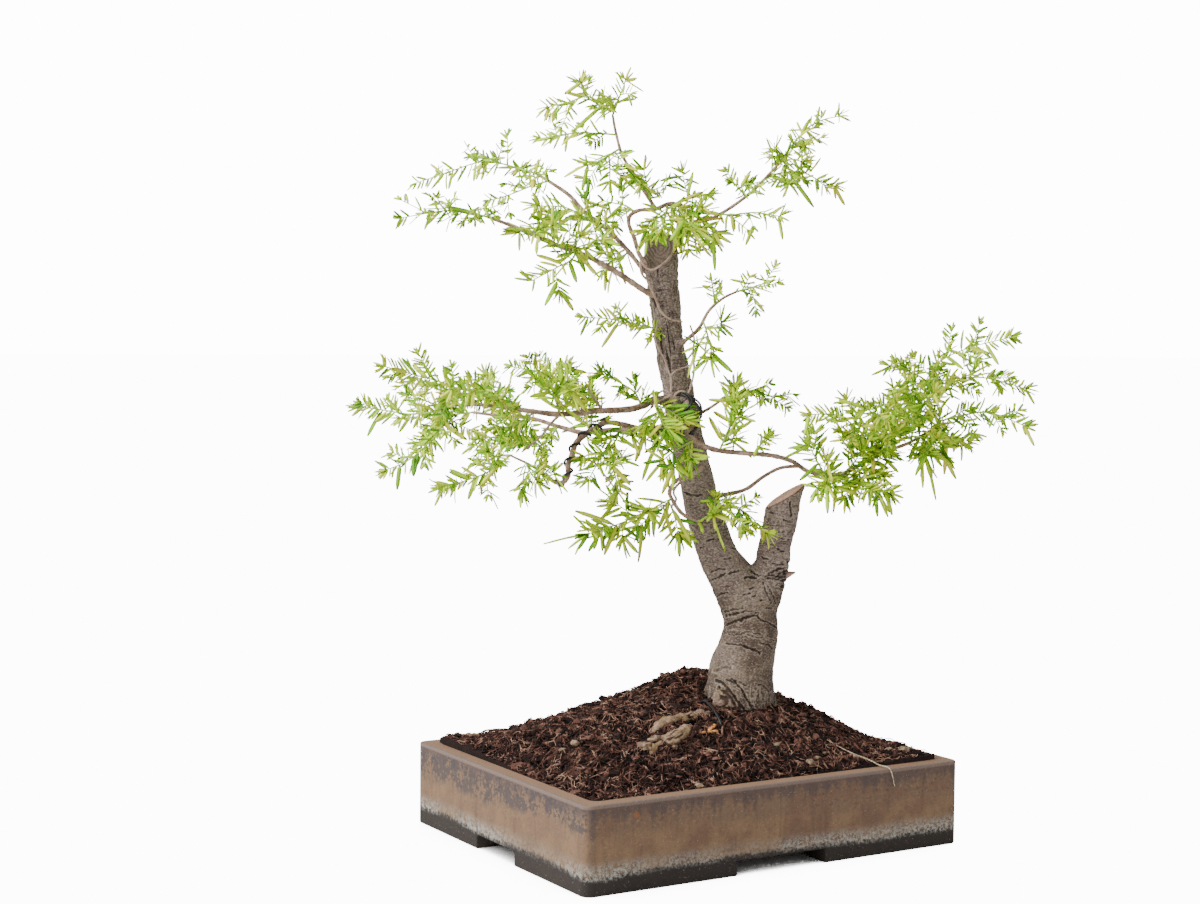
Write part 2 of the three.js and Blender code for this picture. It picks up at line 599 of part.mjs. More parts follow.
// Sprays. Each holds its mean leaf length and its shoots, as routes of across, up and depth.
// The first shoot starts on its branch, and the others start on a shoot before them.
const SPRAYS = {
  leader_tip: [14, [
    [[-106, 636, 5], [-101, 650, 3], [-97, 660, -3], [-95, 667, -10]],
    [[-101, 650, 3], [-110, 649, -6], [-115, 645, -15]],
    [[-105, 639, 5], [-118, 645, 2], [-130, 653, -4], [-134, 664, -15]],
    [[-130, 653, -4], [-145, 647, 0], [-162, 643, 4]],
  ]],
  leader_mid: [12, [
    [[-103, 619, 4], [-118, 620, 9], [-140, 620, 15], [-170, 615, 26]],
  ]],
  leader_low: [16, [
    [[-99, 607, 3], [-109, 601, -8], [-118, 595, -18], [-128, 592, -26]],
    [[-109, 601, -8], [-108, 590, -17], [-108, 578, -21]],
  ]],
  leader_small: [15, [
    [[-72, 562, -4], [-75, 575, -14], [-78, 588, -20]],
    [[-75, 575, -14], [-86, 580, -22]],
  ]],
  upper_left_tip: [12, [
    [[-174, 585, 59], [-190, 589, 66], [-205, 593, 69], [-222, 594, 73], [-250, 585, 78], [-279, 575, 82]],
    [[-190, 589, 66], [-178, 586, 38], [-169, 584, 15], [-165, 583, -3]],
    [[-205, 593, 69], [-215, 597, 50], [-226, 597, 36]],
  ]],
  upper_left_under: [11, [
    [[-162, 578, 53], [-178, 573, 54], [-195, 566, 53], [-214, 560, 50]],
  ]],
  upper_left_dense: [19, [
    [[-122, 545, 32], [-122, 541, 16], [-121, 536, 2], [-120, 533, -11]],
    [[-122, 541, 16], [-134, 549, 10], [-148, 555, 8], [-170, 556, 9]],
  ]],
  lower_left_tip: [12, [
    [[-216, 546, -46], [-235, 550, -53], [-252, 551, -58], [-272, 548, -63], [-293, 544, -69]],
    [[-235, 550, -53], [-224, 552, -73], [-217, 554, -92]],
    [[-252, 551, -58], [-257, 556, -74], [-260, 562, -82]],
  ]],
  lower_left_mid: [18, [
    [[-170, 529, -32], [-166, 534, -49], [-161, 537, -65], [-158, 539, -78]],
    [[-166, 534, -49], [-178, 536, -64], [-187, 533, -72]],
  ]],
  lower_left_hang: [16, [
    [[-140, 517, -24], [-137, 523, -38], [-133, 529, -50]],
    [[-137, 523, -38], [-140, 510, -50], [-152, 503, -60], [-176, 490, -74]],
  ]],
  upper_left_inner: [15, [
    [[-91, 517, 20], [-97, 509, 30], [-104, 501, 40]],
    [[-97, 509, 30], [-102, 518, 43], [-108, 524, 53]],
  ]],
  crown_main: [19, [
    [[-34, 550, -8], [-34, 544, -22], [-33, 538, -34], [-32, 535, -44]],
    [[-34, 544, -22], [-24, 538, -29], [-16, 534, -34]],
  ]],
  crown_left: [17, [
    [[-57, 558, -6], [-58, 551, -18], [-60, 543, -28], [-61, 537, -36]],
    [[-58, 551, -18], [-68, 544, -24], [-75, 536, -30]],
  ]],
  crown_back: [16, [
    [[-48, 557, -7], [-46, 560, 8], [-42, 556, 22], [-40, 550, 34]],
    [[-46, 560, 8], [-34, 566, 16], [-22, 566, 23]],
  ]],
  crown_right: [14, [
    [[-12, 550, -3], [2, 550, -12], [20, 552, -19], [42, 549, -28]],
  ]],
  crown_hang: [18, [
    [[-40, 554, -8], [-42, 543, 0], [-40, 530, 8], [-38, 520, 14]],
  ]],
  crown_twig: [11, [
    [[-85, 551, -4], [-94, 557, 6], [-104, 559, 14], [-113, 561, 22]],
  ]],
  right_top_tip: [13, [
    [[50, 608, 22], [58, 618, 26], [68, 628, 30], [80, 634, 33], [93, 637, 36]],
    [[58, 618, 26], [62, 613, 7], [64, 610, -10]],
  ]],
  right_top_star: [16, [
    [[42, 597, 18], [44, 600, 0], [47, 602, -19]],
    [[44, 600, 0], [36, 602, -12]],
  ]],
  right_top_right: [14, [
    [[31, 584, 13], [50, 588, 22], [64, 587, 33], [78, 580, 41], [90, 576, 46]],
    [[50, 588, 22], [52, 582, 3], [50, 577, -13]],
  ]],
  right_top_left: [12, [
    [[12, 566, 4], [6, 573, -7], [0, 578, -17]],
    [[6, 573, -7], [15, 577, -18], [25, 575, -28]],
  ]],
  right_small_tip: [12, [
    [[5, 482, -29], [16, 485, -35], [28, 487, -42], [41, 490, -51]],
  ]],
  right_small_up: [11, [
    [[-14, 470, -20], [-15, 480, -27], [-17, 491, -34]],
  ]],
  right_small_star: [21, [
    [[-24, 456, -16], [-20, 444, -26], [-17, 432, -35], [-16, 424, -41]],
  ]],
  left_small: [11, [
    [[-54, 446, 4], [-72, 450, -6], [-88, 453, -10], [-108, 457, -15], [-131, 458, -23]],
  ]],
  right_mid: [12, [
    [[-4, 388, 17], [8, 392, 22], [20, 394, 29], [39, 390, 38], [56, 392, 48]],
  ]],
  right_mid_twig: [20, [
    [[-8, 341, -22], [-2, 356, -26], [3, 368, -31], [6, 384, -41]],
  ]],
  right_rosette: [14, [
    [[22, 338, -21], [28, 346, -31], [33, 352, -42]],
  ]],
  main_tip: [13, [
    [[-234, 381, -63], [-242, 393, -66], [-254, 399, -69], [-280, 406, -76], [-306, 413, -86]],
    [[-242, 393, -66], [-256, 376, -50], [-281, 371, -43], [-305, 374, -36], [-328, 377, -30]],
    [[-256, 376, -50], [-256, 358, -76], [-270, 342, -89], [-286, 329, -92], [-304, 321, -96]],
  ]],
  main_front: [14, [
    [[-196, 377, -54], [-206, 384, -82], [-222, 391, -106], [-246, 394, -129]],
    [[-206, 384, -82], [-210, 396, -76], [-216, 406, -69]],
  ]],
  main_up: [16, [
    [[-150, 372, -40], [-155, 386, -50], [-164, 395, -61], [-172, 403, -72]],
    [[-155, 386, -50], [-147, 398, -60], [-141, 407, -66]],
  ]],
  main_over: [12, [
    [[-112, 376, -26], [-124, 388, -16], [-143, 399, -12], [-162, 408, -3], [-194, 414, 13]],
  ]],
  main_inner: [13, [
    [[-78, 380, -14], [-84, 392, -23], [-98, 401, -31], [-114, 408, -41]],
  ]],
  second_tip: [13, [
    [[-228, 373, 59], [-244, 370, 73], [-260, 358, 86], [-276, 346, 96]],
    [[-244, 370, 73], [-262, 380, 86], [-284, 388, 99]],
  ]],
  second_up: [13, [
    [[-190, 369, 53], [-200, 382, 66], [-214, 392, 82], [-234, 398, 99]],
  ]],
  second_low: [12, [
    [[-176, 368, 50], [-188, 358, 63], [-204, 350, 76], [-226, 344, 89]],
  ]],
  second_under: [12, [
    [[-152, 361, 43], [-160, 350, 36], [-172, 343, 23], [-192, 350, 10]],
  ]],
  second_mid: [14, [
    [[-126, 356, 32], [-122, 366, 48], [-124, 378, 67], [-130, 390, 85]],
  ]],
  hang_tip: [14, [
    [[-194, 335, -73], [-212, 321, -76], [-234, 312, -79], [-254, 306, -82]],
    [[-212, 321, -76], [-208, 332, -96], [-214, 338, -112]],
  ]],
  hang_cluster: [16, [
    [[-180, 329, -69], [-176, 320, -89], [-170, 312, -106]],
  ]],
  hang_inner: [16, [
    [[-96, 363, -24], [-100, 350, -40], [-112, 336, -58], [-120, 322, -71], [-124, 314, -79]],
    [[-112, 336, -58], [-102, 322, -50], [-98, 304, -48]],
  ]],
  low_left: [24, [
    [[-50, 299, -17], [-61, 287, -23], [-77, 283, -30], [-99, 274, -41], [-123, 266, -60]],
  ]],
  front_upper: [23, [
    [[-66, 385, -11], [-64, 376, -26], [-60, 368, -38], [-56, 360, -46]],
  ]],
  front_lower: [24, [
    [[-31, 350, -22], [-40, 345, -34], [-50, 339, -44], [-58, 332, -50]],
  ]],
  front_rosette: [20, [
    [[-27, 277, -19], [-18, 282, -28], [-13, 284, -36]],
    [[-18, 282, -28], [0, 286, -30], [16, 284, -30], [36, 269, -30]],
    [[0, 286, -30], [8, 276, -36], [11, 268, -40]],
  ]],
  pad_tip: [13, [
    [[178, 360, 7], [187, 369, 10], [184, 386, 7], [179, 402, 0], [182, 418, -7], [208, 433, -13],
      [248, 444, -20]],
    [[184, 386, 7], [201, 405, 33], [226, 408, 43], [262, 399, 53]],
    [[187, 369, 10], [209, 375, 3], [232, 377, -7], [262, 366, -16]],
    [[179, 402, 0], [164, 411, -16], [142, 418, -33]],
  ]],
  pad_middle: [14, [
    [[146, 344, 0], [147, 353, -3], [144, 366, -30], [148, 384, -56]],
    [[147, 353, -3], [152, 366, 30], [150, 382, 56], [146, 398, 76]],
    [[144, 366, -30], [132, 374, -50], [120, 380, -63]],
  ]],
  pad_centre: [14, [
    [[162, 350, 3], [164, 370, -10], [162, 388, -26], [158, 402, -43]],
    [[164, 370, -10], [174, 384, -33], [182, 394, -53]],
  ]],
  pad_left: [13, [
    [[122, 333, -3], [118, 348, -16], [111, 364, -33], [94, 374, -46], [72, 374, -54]],
    [[118, 348, -16], [122, 362, 16], [112, 378, 40], [104, 386, 53]],
  ]],
  pad_low: [16, [
    [[170, 355, 5], [176, 348, -16], [178, 341, -40]],
    [[176, 348, -16], [192, 356, 7], [206, 352, 23]],
  ]],
  pad_under: [17, [
    [[105, 324, -5], [114, 316, -23], [124, 309, -40], [134, 303, -53]],
  ]],
  pad_base: [18, [
    [[86, 322, -10], [88, 317, -32], [88, 313, -51]],
    [[88, 317, -32], [78, 334, -41], [72, 346, -46]],
  ]],
};

// A solid leaf: narrow at root and tip, flat below and ridged above. Long leaves are straps.
function leafSolid(leaf) {
  const along = leaf.tip.clone().sub(leaf.root);
  const length = along.length();
  along.normalize();
  const normal = leaf.face.clone().addScaledVector(along, -leaf.face.dot(along)).normalize();
  const side = along.clone().cross(normal);
  const ring = (share) => {
    const centre = leaf.root.clone().addScaledVector(along, length * share);
    return [
      centre.clone().addScaledVector(normal, LEAF_RIDGE),
      centre.clone().addScaledVector(side, leaf.width / 2).addScaledVector(normal, -LEAF_KEEL),
      centre.clone().addScaledVector(side, -leaf.width / 2).addScaledVector(normal, -LEAF_KEEL),
    ];
  };
  const rings = (length >= STRAP_LEAF ? RING_AT.strap : RING_AT.leaf).map(ring);
  return solidOf(skin(rings, leaf.root, leaf.tip));
}

// The shortest distance between two straight stretches.
function stretchGap(a, b, c, d) {
  const u = b.clone().sub(a);
  const v = d.clone().sub(c);
  const w = a.clone().sub(c);
  const uu = u.dot(u);
  const uv = u.dot(v);
  const vv = v.dot(v);
  const uw = u.dot(w);
  const vw = v.dot(w);
  const spread = uu * vv - uv * uv;
  const clamp = THREE.MathUtils.clamp;
  let s = spread > 1e-9 ? clamp((uv * vw - vv * uw) / spread, 0, 1) : 0;
  const t = clamp((uv * s + vw) / vv, 0, 1);
  s = clamp((uv * t - uw) / uu, 0, 1);
  return w.addScaledVector(u, s).addScaledVector(v, -t).length();
}

// Stretches that leaves keep clear of: wood, wires, and the twigs and leaves of other sprays.
const obstacles = [];
function addObstacles(stations, owner) {
  for (let i = 0; i + 1 < stations.length; i++) {
    const radius = Math.max(stations[i].radius, stations[i + 1].radius);
    const a = stations[i].centre;
    const b = stations[i + 1].centre;
    obstacles.push({ a, b, radius, owner });
  }
}

// A leaf clears other nodes along its whole length, and its own spray beyond its first part.
function isClear(root, tip, radius, owner) {
  const beyond = root.clone().lerp(tip, ROOT_SHARE);
  return obstacles.every((o) => {
    if (o.owner !== owner) return stretchGap(root, tip, o.a, o.b) > o.radius + radius + CLEAR;
    return stretchGap(beyond, tip, o.beyond ?? o.a, o.b) > (o.radius + radius) * OWN_SHARE;
  });
}

function shootStations(route) {
  const centres = route.map(place);
  return centres.map((centre, i) => ({
    centre,
    radius: THREE.MathUtils.lerp(TWIG_BASE, TWIG_TIP, i / (centres.length - 1)),
  }));
}

// Leaves stand round a shoot in a spiral and lean towards its tip, which ends in a rosette.
function growLeaves(name, stations, meanLength, random) {
  const path = new THREE.CurvePath();
  for (let i = 0; i + 1 < stations.length; i++) {
    path.add(new THREE.LineCurve3(stations[i].centre, stations[i + 1].centre));
  }
  const total = path.getLength();
  const count = Math.floor((total - LEAF_SPACING) / LEAF_SPACING);
  const leaves = [];
  let angle = random() * 2 * Math.PI;
  for (let k = 0; k < count + ROSETTE; k++) {
    const share = Math.min((LEAF_SPACING * (k + 1)) / total, LAST_SHARE);
    const lean = k < count ? LEAN.base - LEAN.loss * share : LEAN.tipLeast + LEAN.tipSpread * random();
    const varied = meanLength * (LENGTH_SHARE.least + LENGTH_SHARE.spread * random());
    const length = varied * (k < count ? 1 : LENGTH_SHARE.tip);
    const root = path.getPointAt(share);
    const along = path.getTangentAt(share);
    const seed = Math.abs(along.z) > 0.9 ? new THREE.Vector3(1, 0, 0) : new THREE.Vector3(0, 0, 1);
    const normal = seed.addScaledVector(along, -seed.dot(along)).normalize();
    const side = along.clone().cross(normal);
    const face = new THREE.Vector3(random() - 0.5, random() - 0.8, 0.8);
    angle += GOLDEN_TURN;
    const { least, most } = WIDTH_SHARE;
    const width = LEAF_WIDTH * THREE.MathUtils.clamp(length / LONG_LEAF, least, most);
    for (let turn = 0; turn < TRIES; turn++) {
      const way = angle + turn * TURN_STEP;
      const tip = root
        .clone()
        .addScaledVector(along, Math.cos(lean) * length)
        .addScaledVector(normal, Math.cos(way) * Math.sin(lean) * length)
        .addScaledVector(side, Math.sin(way) * Math.sin(lean) * length);
      if (!isClear(root, tip, width / 2, name)) continue;
      leaves.push({ root, tip, face, width });
      const beyond = root.clone().lerp(tip, ROOT_SHARE);
      obstacles.push({ a: root, beyond, b: tip, radius: width / 2, owner: name });
      break;
    }
  }
  return leaves;
}

// Colours, and the material that each kind of piece takes.
const finish = (color, roughness) => new THREE.MeshStandardMaterial({ color, roughness, metalness: 0 });
const FINISH = {
  pot: () => finish(0x8c705c, 0.85),
  soil: () => finish(0x3c261e, 1),
  bark: () => finish(0x78695c, 0.9),
  leaf: () => finish(0x8fbf46, 0.5),
  wire: () => finish(0x16161a, 0.4),
  screen: () => finish(0x23262a, 0.6),
};

function meshOf(name, solid, material) {
  const mesh = new THREE.Mesh(geometryOf(solid), material);
  mesh.name = name;
  return mesh;
}

const potGroup = new THREE.Group();
const treeGroup = new THREE.Group();
treeGroup.position.set(TREE_X, TREE_Y, 0);
treeGroup.rotation.z = -TREE_TURN;
treeGroup.updateMatrix();

// A tree solid carried into the pot's frame, to cut the hole that it stands in.
function inPotFrame(solid) {
  return solidOf(geometryOf(solid).applyMatrix4(treeGroup.matrix));
}

const grownWood = woodSolid(GROWN);
const wireEnd = stationsOf(WIRE_END);
const wireEndHole = limb(stationsOf(WIRE_END, GROWN), WIRE_SIDES);

let soil = soilSolid().subtract(inPotFrame(grownWood)).subtract(inPotFrame(wireEndHole));
potGroup.add(meshOf("pot", potSolid(), FINISH.pot()));
for (const [name, side] of [["drain_screen_left", -1], ["drain_screen_right", 1]]) {
  soil = soil.subtract(screenSolid(side, SEAT));
  potGroup.add(meshOf(name, screenSolid(side), FINISH.screen()));
}
potGroup.add(meshOf("soil", largestBody(soil), FINISH.soil()));

treeGroup.add(meshOf("tree_wood", woodSolid(), FINISH.bark()));
[TRUNK, STUB, ...Object.values(BRANCHES)].forEach((b) => addObstacles(stationsOf(b), "wood"));
for (const [name, stations] of Object.entries(WIRES)) {
  const wire = limb(stations, WIRE_SIDES).subtract(grownWood);
  treeGroup.add(meshOf(name, largestBody(wire), FINISH.wire()));
  addObstacles(stations, name);
}
const anchor = limb(wireEnd, WIRE_SIDES).subtract(grownWood);
treeGroup.add(meshOf("wire_end", largestBody(anchor), FINISH.wire()));

const shoots = Object.entries(SPRAYS).map(([name, [meanLength, routes]]) => {
  const stations = routes.map(shootStations);
  stations.forEach((s) => addObstacles(s, name));
  return { name, meanLength, stations };
});
shoots.forEach(({ name, meanLength, stations }, n) => {
  const random = seeded(SEED + n);
  const twigs = stations.map((s) => limb(s, TWIG_SIDES));
  const leaves = stations.flatMap((s) => growLeaves(name, s, meanLength, random));
  const spray = joined([...twigs, ...leaves.map(leafSolid)]).subtract(grownWood);
  treeGroup.add(meshOf("spray_" + name, largestBody(spray), FINISH.leaf()));
});

// The origin is the middle of the whole plant's footprint, on the surface that the feet stand on.
const bonsai = new THREE.Group();
bonsai.add(potGroup, treeGroup);
bonsai.updateMatrixWorld(true);
const middle = new THREE.Box3().setFromObject(bonsai, true).getCenter(new THREE.Vector3());
bonsai.position.set(-middle.x, -middle.y, 0);
const root = new THREE.Group();
root.add(bonsai);

export default root;
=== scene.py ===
"""Looks for an eastern hemlock bonsai in a low rectangular pot.

Sizes in the tables and classes are in millimetres, as they were measured. The meshes are made in
metres, in the frame of the plain solids. A tree point is across, up and depth as the tree is
shown: depth carries it back along the line of sight, so that its place as shown stays the same.
"""

from __future__ import annotations

import json
import logging
import math
import random
from dataclasses import dataclass, field
from enum import Enum

import bmesh
import bpy
from mathutils import Matrix, Vector, noise
from mathutils.kdtree import KDTree

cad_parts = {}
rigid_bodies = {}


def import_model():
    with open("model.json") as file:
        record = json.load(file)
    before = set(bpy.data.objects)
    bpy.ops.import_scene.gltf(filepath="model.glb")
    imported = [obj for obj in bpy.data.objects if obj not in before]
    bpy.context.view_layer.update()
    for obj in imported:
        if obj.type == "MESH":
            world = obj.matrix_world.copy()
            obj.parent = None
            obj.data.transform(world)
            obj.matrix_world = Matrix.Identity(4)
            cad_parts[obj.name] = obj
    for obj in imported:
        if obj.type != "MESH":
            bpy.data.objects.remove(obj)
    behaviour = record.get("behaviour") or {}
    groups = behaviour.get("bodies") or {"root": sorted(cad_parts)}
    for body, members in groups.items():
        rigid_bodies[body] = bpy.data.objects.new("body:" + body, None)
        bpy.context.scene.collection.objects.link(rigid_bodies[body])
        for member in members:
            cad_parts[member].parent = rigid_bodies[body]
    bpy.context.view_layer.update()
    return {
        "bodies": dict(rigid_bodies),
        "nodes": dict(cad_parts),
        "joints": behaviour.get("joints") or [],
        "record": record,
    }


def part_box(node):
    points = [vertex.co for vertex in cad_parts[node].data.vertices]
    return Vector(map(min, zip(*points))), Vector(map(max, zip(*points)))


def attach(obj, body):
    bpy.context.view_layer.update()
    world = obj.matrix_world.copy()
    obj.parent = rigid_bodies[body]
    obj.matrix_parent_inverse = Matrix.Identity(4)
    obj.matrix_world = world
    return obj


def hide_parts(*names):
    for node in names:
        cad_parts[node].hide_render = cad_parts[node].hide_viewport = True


LOG = logging.getLogger("bonsai")
MM = 0.001
BODY = "root"
CRACK_REACH = 2.5

Station = tuple[float, float, float, float]
Route = list[tuple[float, float, float]]
Run = list[tuple[Vector, float]]
Colour = tuple[float, float, float]
Cut = tuple[Colour, Colour]

TRUNK: list[Station] = [
    (14, 62, 0, 31), (12, 108, 0, 33), (13, 128, 0, 30.5), (15, 148, 0, 28.8), (20, 168, 0, 26),
    (22, 186, 0, 24.5), (18, 205, 0, 24.5), (5.5, 225, 0, 21.5), (-7, 246, 1, 17.8),
    (-16, 268, 2, 17), (-24, 297, 4, 16), (-31, 328, 6, 14.8), (-39, 360, 7, 14.4),
    (-46, 396, 8, 14), (-53, 430, 8, 12.8), (-57, 465, 7, 13.6), (-61, 497, 6, 14.6),
    (-64, 548, 6, 15),
]
STUB: list[Station] = [
    (25, 190, 0, 19), (31, 215, 0, 20), (40, 240, 0, 15.8), (42, 256, 0, 14.8),
    (46.5, 276, 0, 14.6), (54.5, 322, 0, 14.6),
]
BRANCHES: dict[str, list[Station]] = {
    "lower_left": [
        (-60, 476, 4, 4), (-74, 481, -6, 2.7), (-99, 497, -12, 2.4), (-127, 512, -19, 2.2),
        (-153, 521, -27, 2), (-179, 532, -35, 1.8), (-199, 540, -41, 1.6), (-216, 546, -46, 1.3),
    ],
    "upper_left": [
        (-64, 490, 8, 3.4), (-80, 504, 16, 2.2), (-91, 517, 20, 2), (-109, 535, 27, 2.2),
        (-130, 551, 36, 2), (-143, 565, 43, 1.8), (-159, 576, 52, 1.6), (-174, 585, 59, 1.4),
    ],
    "over_top": [
        (-66, 498, -2, 3), (-80, 512, -10, 2), (-86, 529, -8, 1.9), (-91, 542, -6, 1.8),
        (-89, 549, -4, 1.8), (-81, 553, -4, 1.8), (-68, 554, -5, 2), (-54, 559, -6, 1.9),
        (-44, 556, -8, 1.8), (-34, 550, -8, 1.8), (-24, 545, -6, 1.7), (-9, 551, -2, 1.6),
        (15, 568, 5, 1.5), (32, 585, 13, 1.4), (43, 598, 19, 1.2), (50, 608, 22, 1.1),
    ],
    "leader": [
        (-67, 554, -5, 1.8), (-82, 577, -2, 1.6), (-97, 601, 2, 1.4), (-103, 621, 4, 1.3),
        (-106, 636, 5, 1.1),
    ],
    "right_small": [
        (-50, 432, 0, 3), (-39, 439, -10, 1.8), (-28, 449, -14, 1.6), (-19, 465, -18, 1.4),
        (-7, 476, -23, 1.2), (5, 482, -29, 1.1),
    ],
    "main_left": [
        (-46, 384, 2, 4.5), (-65, 386, -10, 3.4), (-78, 380, -14, 3), (-89, 377, -18, 2.9),
        (-121, 375, -29, 2.7), (-149, 372, -40, 2.5), (-172, 374, -49, 2.3), (-202, 378, -56, 2),
        (-234, 381, -63, 1.6),
    ],
    "second_left": [
        (-42, 362, 10, 4), (-69, 360, 16, 2.8), (-92, 359, 21, 2.5), (-110, 358, 28, 2.4),
        (-130, 356, 34, 2.2), (-151, 361, 43, 2), (-175, 368, 49, 1.8), (-202, 370, 54, 1.5),
        (-228, 373, 59, 1.3),
    ],
    "hanging": [
        (-42, 354, 0, 3.6), (-74, 358, -14, 2.6), (-92, 363, -22, 2.4), (-109, 365, -29, 2.4),
        (-119, 360, -36, 2.5), (-128, 354, -41, 2.6), (-136, 346, -46, 2.6), (-139, 336, -50, 2.6),
        (-142.5, 327, -55, 2.5), (-142.5, 318, -57, 2.4), (-147, 311.5, -60, 2.2),
        (-154, 311.5, -62, 2), (-160, 316, -64, 1.5), (-175, 326, -68, 1.1), (-194, 335, -73, 1),
    ],
    "toward_front": [
        (-43, 378, 2, 7), (-41, 384, -11, 7), (-32, 376, -18, 5.4), (-31, 366, -20, 4.4),
        (-36, 357, -21, 3.4), (-29, 349, -22, 2.5), (-19, 344, -22, 2.4), (-8, 341, -22, 2.3),
        (14, 339, -21, 2.2), (39, 337, -20, 2.1), (57, 332, -17, 2), (72, 323, -12, 2),
        (99, 321, -7, 1.9), (123, 333, -3, 1.8), (143, 343, 0, 1.7), (159, 349, 3, 1.6),
        (178, 360, 7, 1.3),
    ],
    "second_right": [
        (-20, 299, 4, 3), (-2, 302, 8, 2), (16, 307, 12, 1.7), (31, 318, 14, 1.6),
        (46, 326, 5, 1.6), (64, 328, -15, 1.6),
    ],
    "right_mid": [
        (-38, 370, 8, 2.5), (-22, 376, 12, 1.4), (-4, 388, 17, 1.1),
    ],
    "broken_twig": [
        (44, 229, 0, 4), (54, 231, 0, 3), (61, 233, 0, 0.8),
    ],
}
FRONT_TWIGS: dict[str, list[Station]] = {
    "ring": [
        (-69.4, 378.4, -19, 1), (-65, 386.4, -21, 1), (-62.4, 391.8, -21, 1), (-58, 394, -21, 1),
        (-53.5, 392.3, -21, 0.9), (-50.8, 387.4, -20, 0.9), (-47.3, 391.5, -21, 1),
        (-42.9, 393.7, -22, 1), (-38.4, 392, -22, 1), (-34.8, 387.6, -23, 0.9),
        (-33, 382.3, -23, 0.8),
    ],
    "strand": [
        (-67.6, 381.9, -20, 0.8), (-63.2, 383.8, -21, 0.8), (-57.9, 386.9, -22, 0.8),
        (-53.5, 389.2, -22, 0.8), (-50.9, 391, -22, 0.8),
    ],
    "upright": [
        (-50.8, 382.1, -20, 0.9), (-51.8, 394.5, -19, 0.9), (-51.9, 405.2, -18, 0.9),
        (-54.7, 412.2, -17, 0.9), (-58.3, 422.8, -17, 0.8), (-62.8, 429.9, -17, 0.8),
        (-66.5, 440.5, -17, 0.7), (-64.9, 452, -17, 0.6),
    ],
    "upright_fork": [
        (-52.8, 406.9, -18, 0.8), (-46.7, 412.3, -17, 0.8), (-38.7, 415, -16, 0.7),
        (-31.7, 418.7, -15, 0.6),
    ],
    "right_upright": [
        (-37.5, 389.3, -20, 0.9), (-34.1, 398.2, -17, 1), (-31.6, 412.5, -15, 1),
        (-32.7, 428.4, -15, 0.9), (-31.9, 440.8, -15, 0.9), (-35.6, 452.3, -15, 0.8),
    ],
    "crossing": [
        (-80.5, 508, -10, 1.2), (-78.7, 497.2, -11, 1.2), (-73.6, 490.9, -12, 1.1),
        (-69.8, 483, -13, 1.1), (-65.7, 473.5, -13, 1.1), (-61.6, 464, -12, 1),
        (-56.8, 459.3, -11, 0.9), (-51.2, 456.5, -10, 0.8), (-42, 455, -8, 0.7),
    ],
    "round_cut": [
        (-49.6, 522.1, -10, 0.8), (-51.9, 515.7, -12, 0.9), (-57.4, 508.6, -14, 0.9),
        (-64.5, 502.9, -15, 0.9), (-70.8, 500.5, -14, 1), (-76.4, 503.6, -12, 1),
        (-80.4, 509.9, -10, 1),
    ],
    "side_curl": [
        (-24, 326, -4, 2.6), (-28, 322, -16, 2.1), (-37, 318, -19, 1.9), (-46, 314, -19, 1.8),
        (-52, 304, -17, 1.8), (-49, 296, -17, 1.7), (-42, 286, -19, 1.7), (-34, 280, -20, 1.6),
        (-27, 277, -19, 1.4),
    ],
    "side_curl_twin": [
        (-30, 318, -19, 1.2), (-39, 315, -21, 1.2), (-46, 309, -20, 1.2), (-48.5, 303, -19, 1.1),
        (-46, 297, -19, 1.1), (-50, 290, -19, 1), (-43, 281, -20, 1),
    ],
    "left_up": [
        (-150.6, 373.6, -38, 1.3), (-152.7, 380.9, -40, 1.1), (-155.9, 389.1, -41, 1),
        (-158, 400, -42, 0.8),
    ],
    "left_down": [
        (-150, 372, -38, 1.4), (-158.7, 363.1, -39, 1.2), (-165.1, 354.3, -39, 1),
        (-172.1, 347.4, -40, 0.9), (-184, 338, -41, 0.7),
    ],
    "left_lean": [
        (-113.3, 377, -27, 1.2), (-117.4, 384.1, -28, 1), (-122.8, 391.2, -28, 0.9),
        (-128, 401, -28, 0.8),
    ],
    "left_thin": [
        (-130.9, 376, -33, 0.9), (-133, 383, -33, 0.8), (-141.4, 388.3, -33, 0.7),
    ],
    "droop": [
        (-138, 332, -52, 1), (-128.4, 331.5, -53, 0.9), (-120.1, 330, -53, 0.9),
        (-115, 324.6, -53, 0.8), (-109.6, 317.9, -53, 0.8), (-100.6, 306.5, -53, 0.7),
    ],
    "hang_twig": [
        (-158, 313, -63, 0.9), (-165.7, 321.4, -64, 0.8), (-172, 325.6, -65, 0.7),
    ],
    "hang_drop": [
        (-152.6, 311, -61, 0.8), (-149.6, 306.4, -61, 0.7), (-147.9, 300.9, -61, 0.6),
    ],
}
ROOTS: dict[str, list[Station]] = {
    "surface": [
        (0, 100, -18, 11), (-10, 102, -36, 4.2), (-17, 104, -46, 4), (-28, 103, -54, 4.4),
        (-39.5, 99.5, -62, 5), (-50, 96.5, -68, 6.6), (-59, 92.5, -75, 5.2), (-66, 86, -80, 3),
    ],
    "lower": [
        (-6, 94, -30, 8), (-22, 89, -58, 4.5), (-35, 89, -79, 4.6), (-41, 84.5, -88, 6.4),
        (-49, 80, -94, 6.6), (-56, 75.5, -100, 5), (-63, 72.5, -106, 4.2), (-70, 63, -110, 2.6),
    ],
}
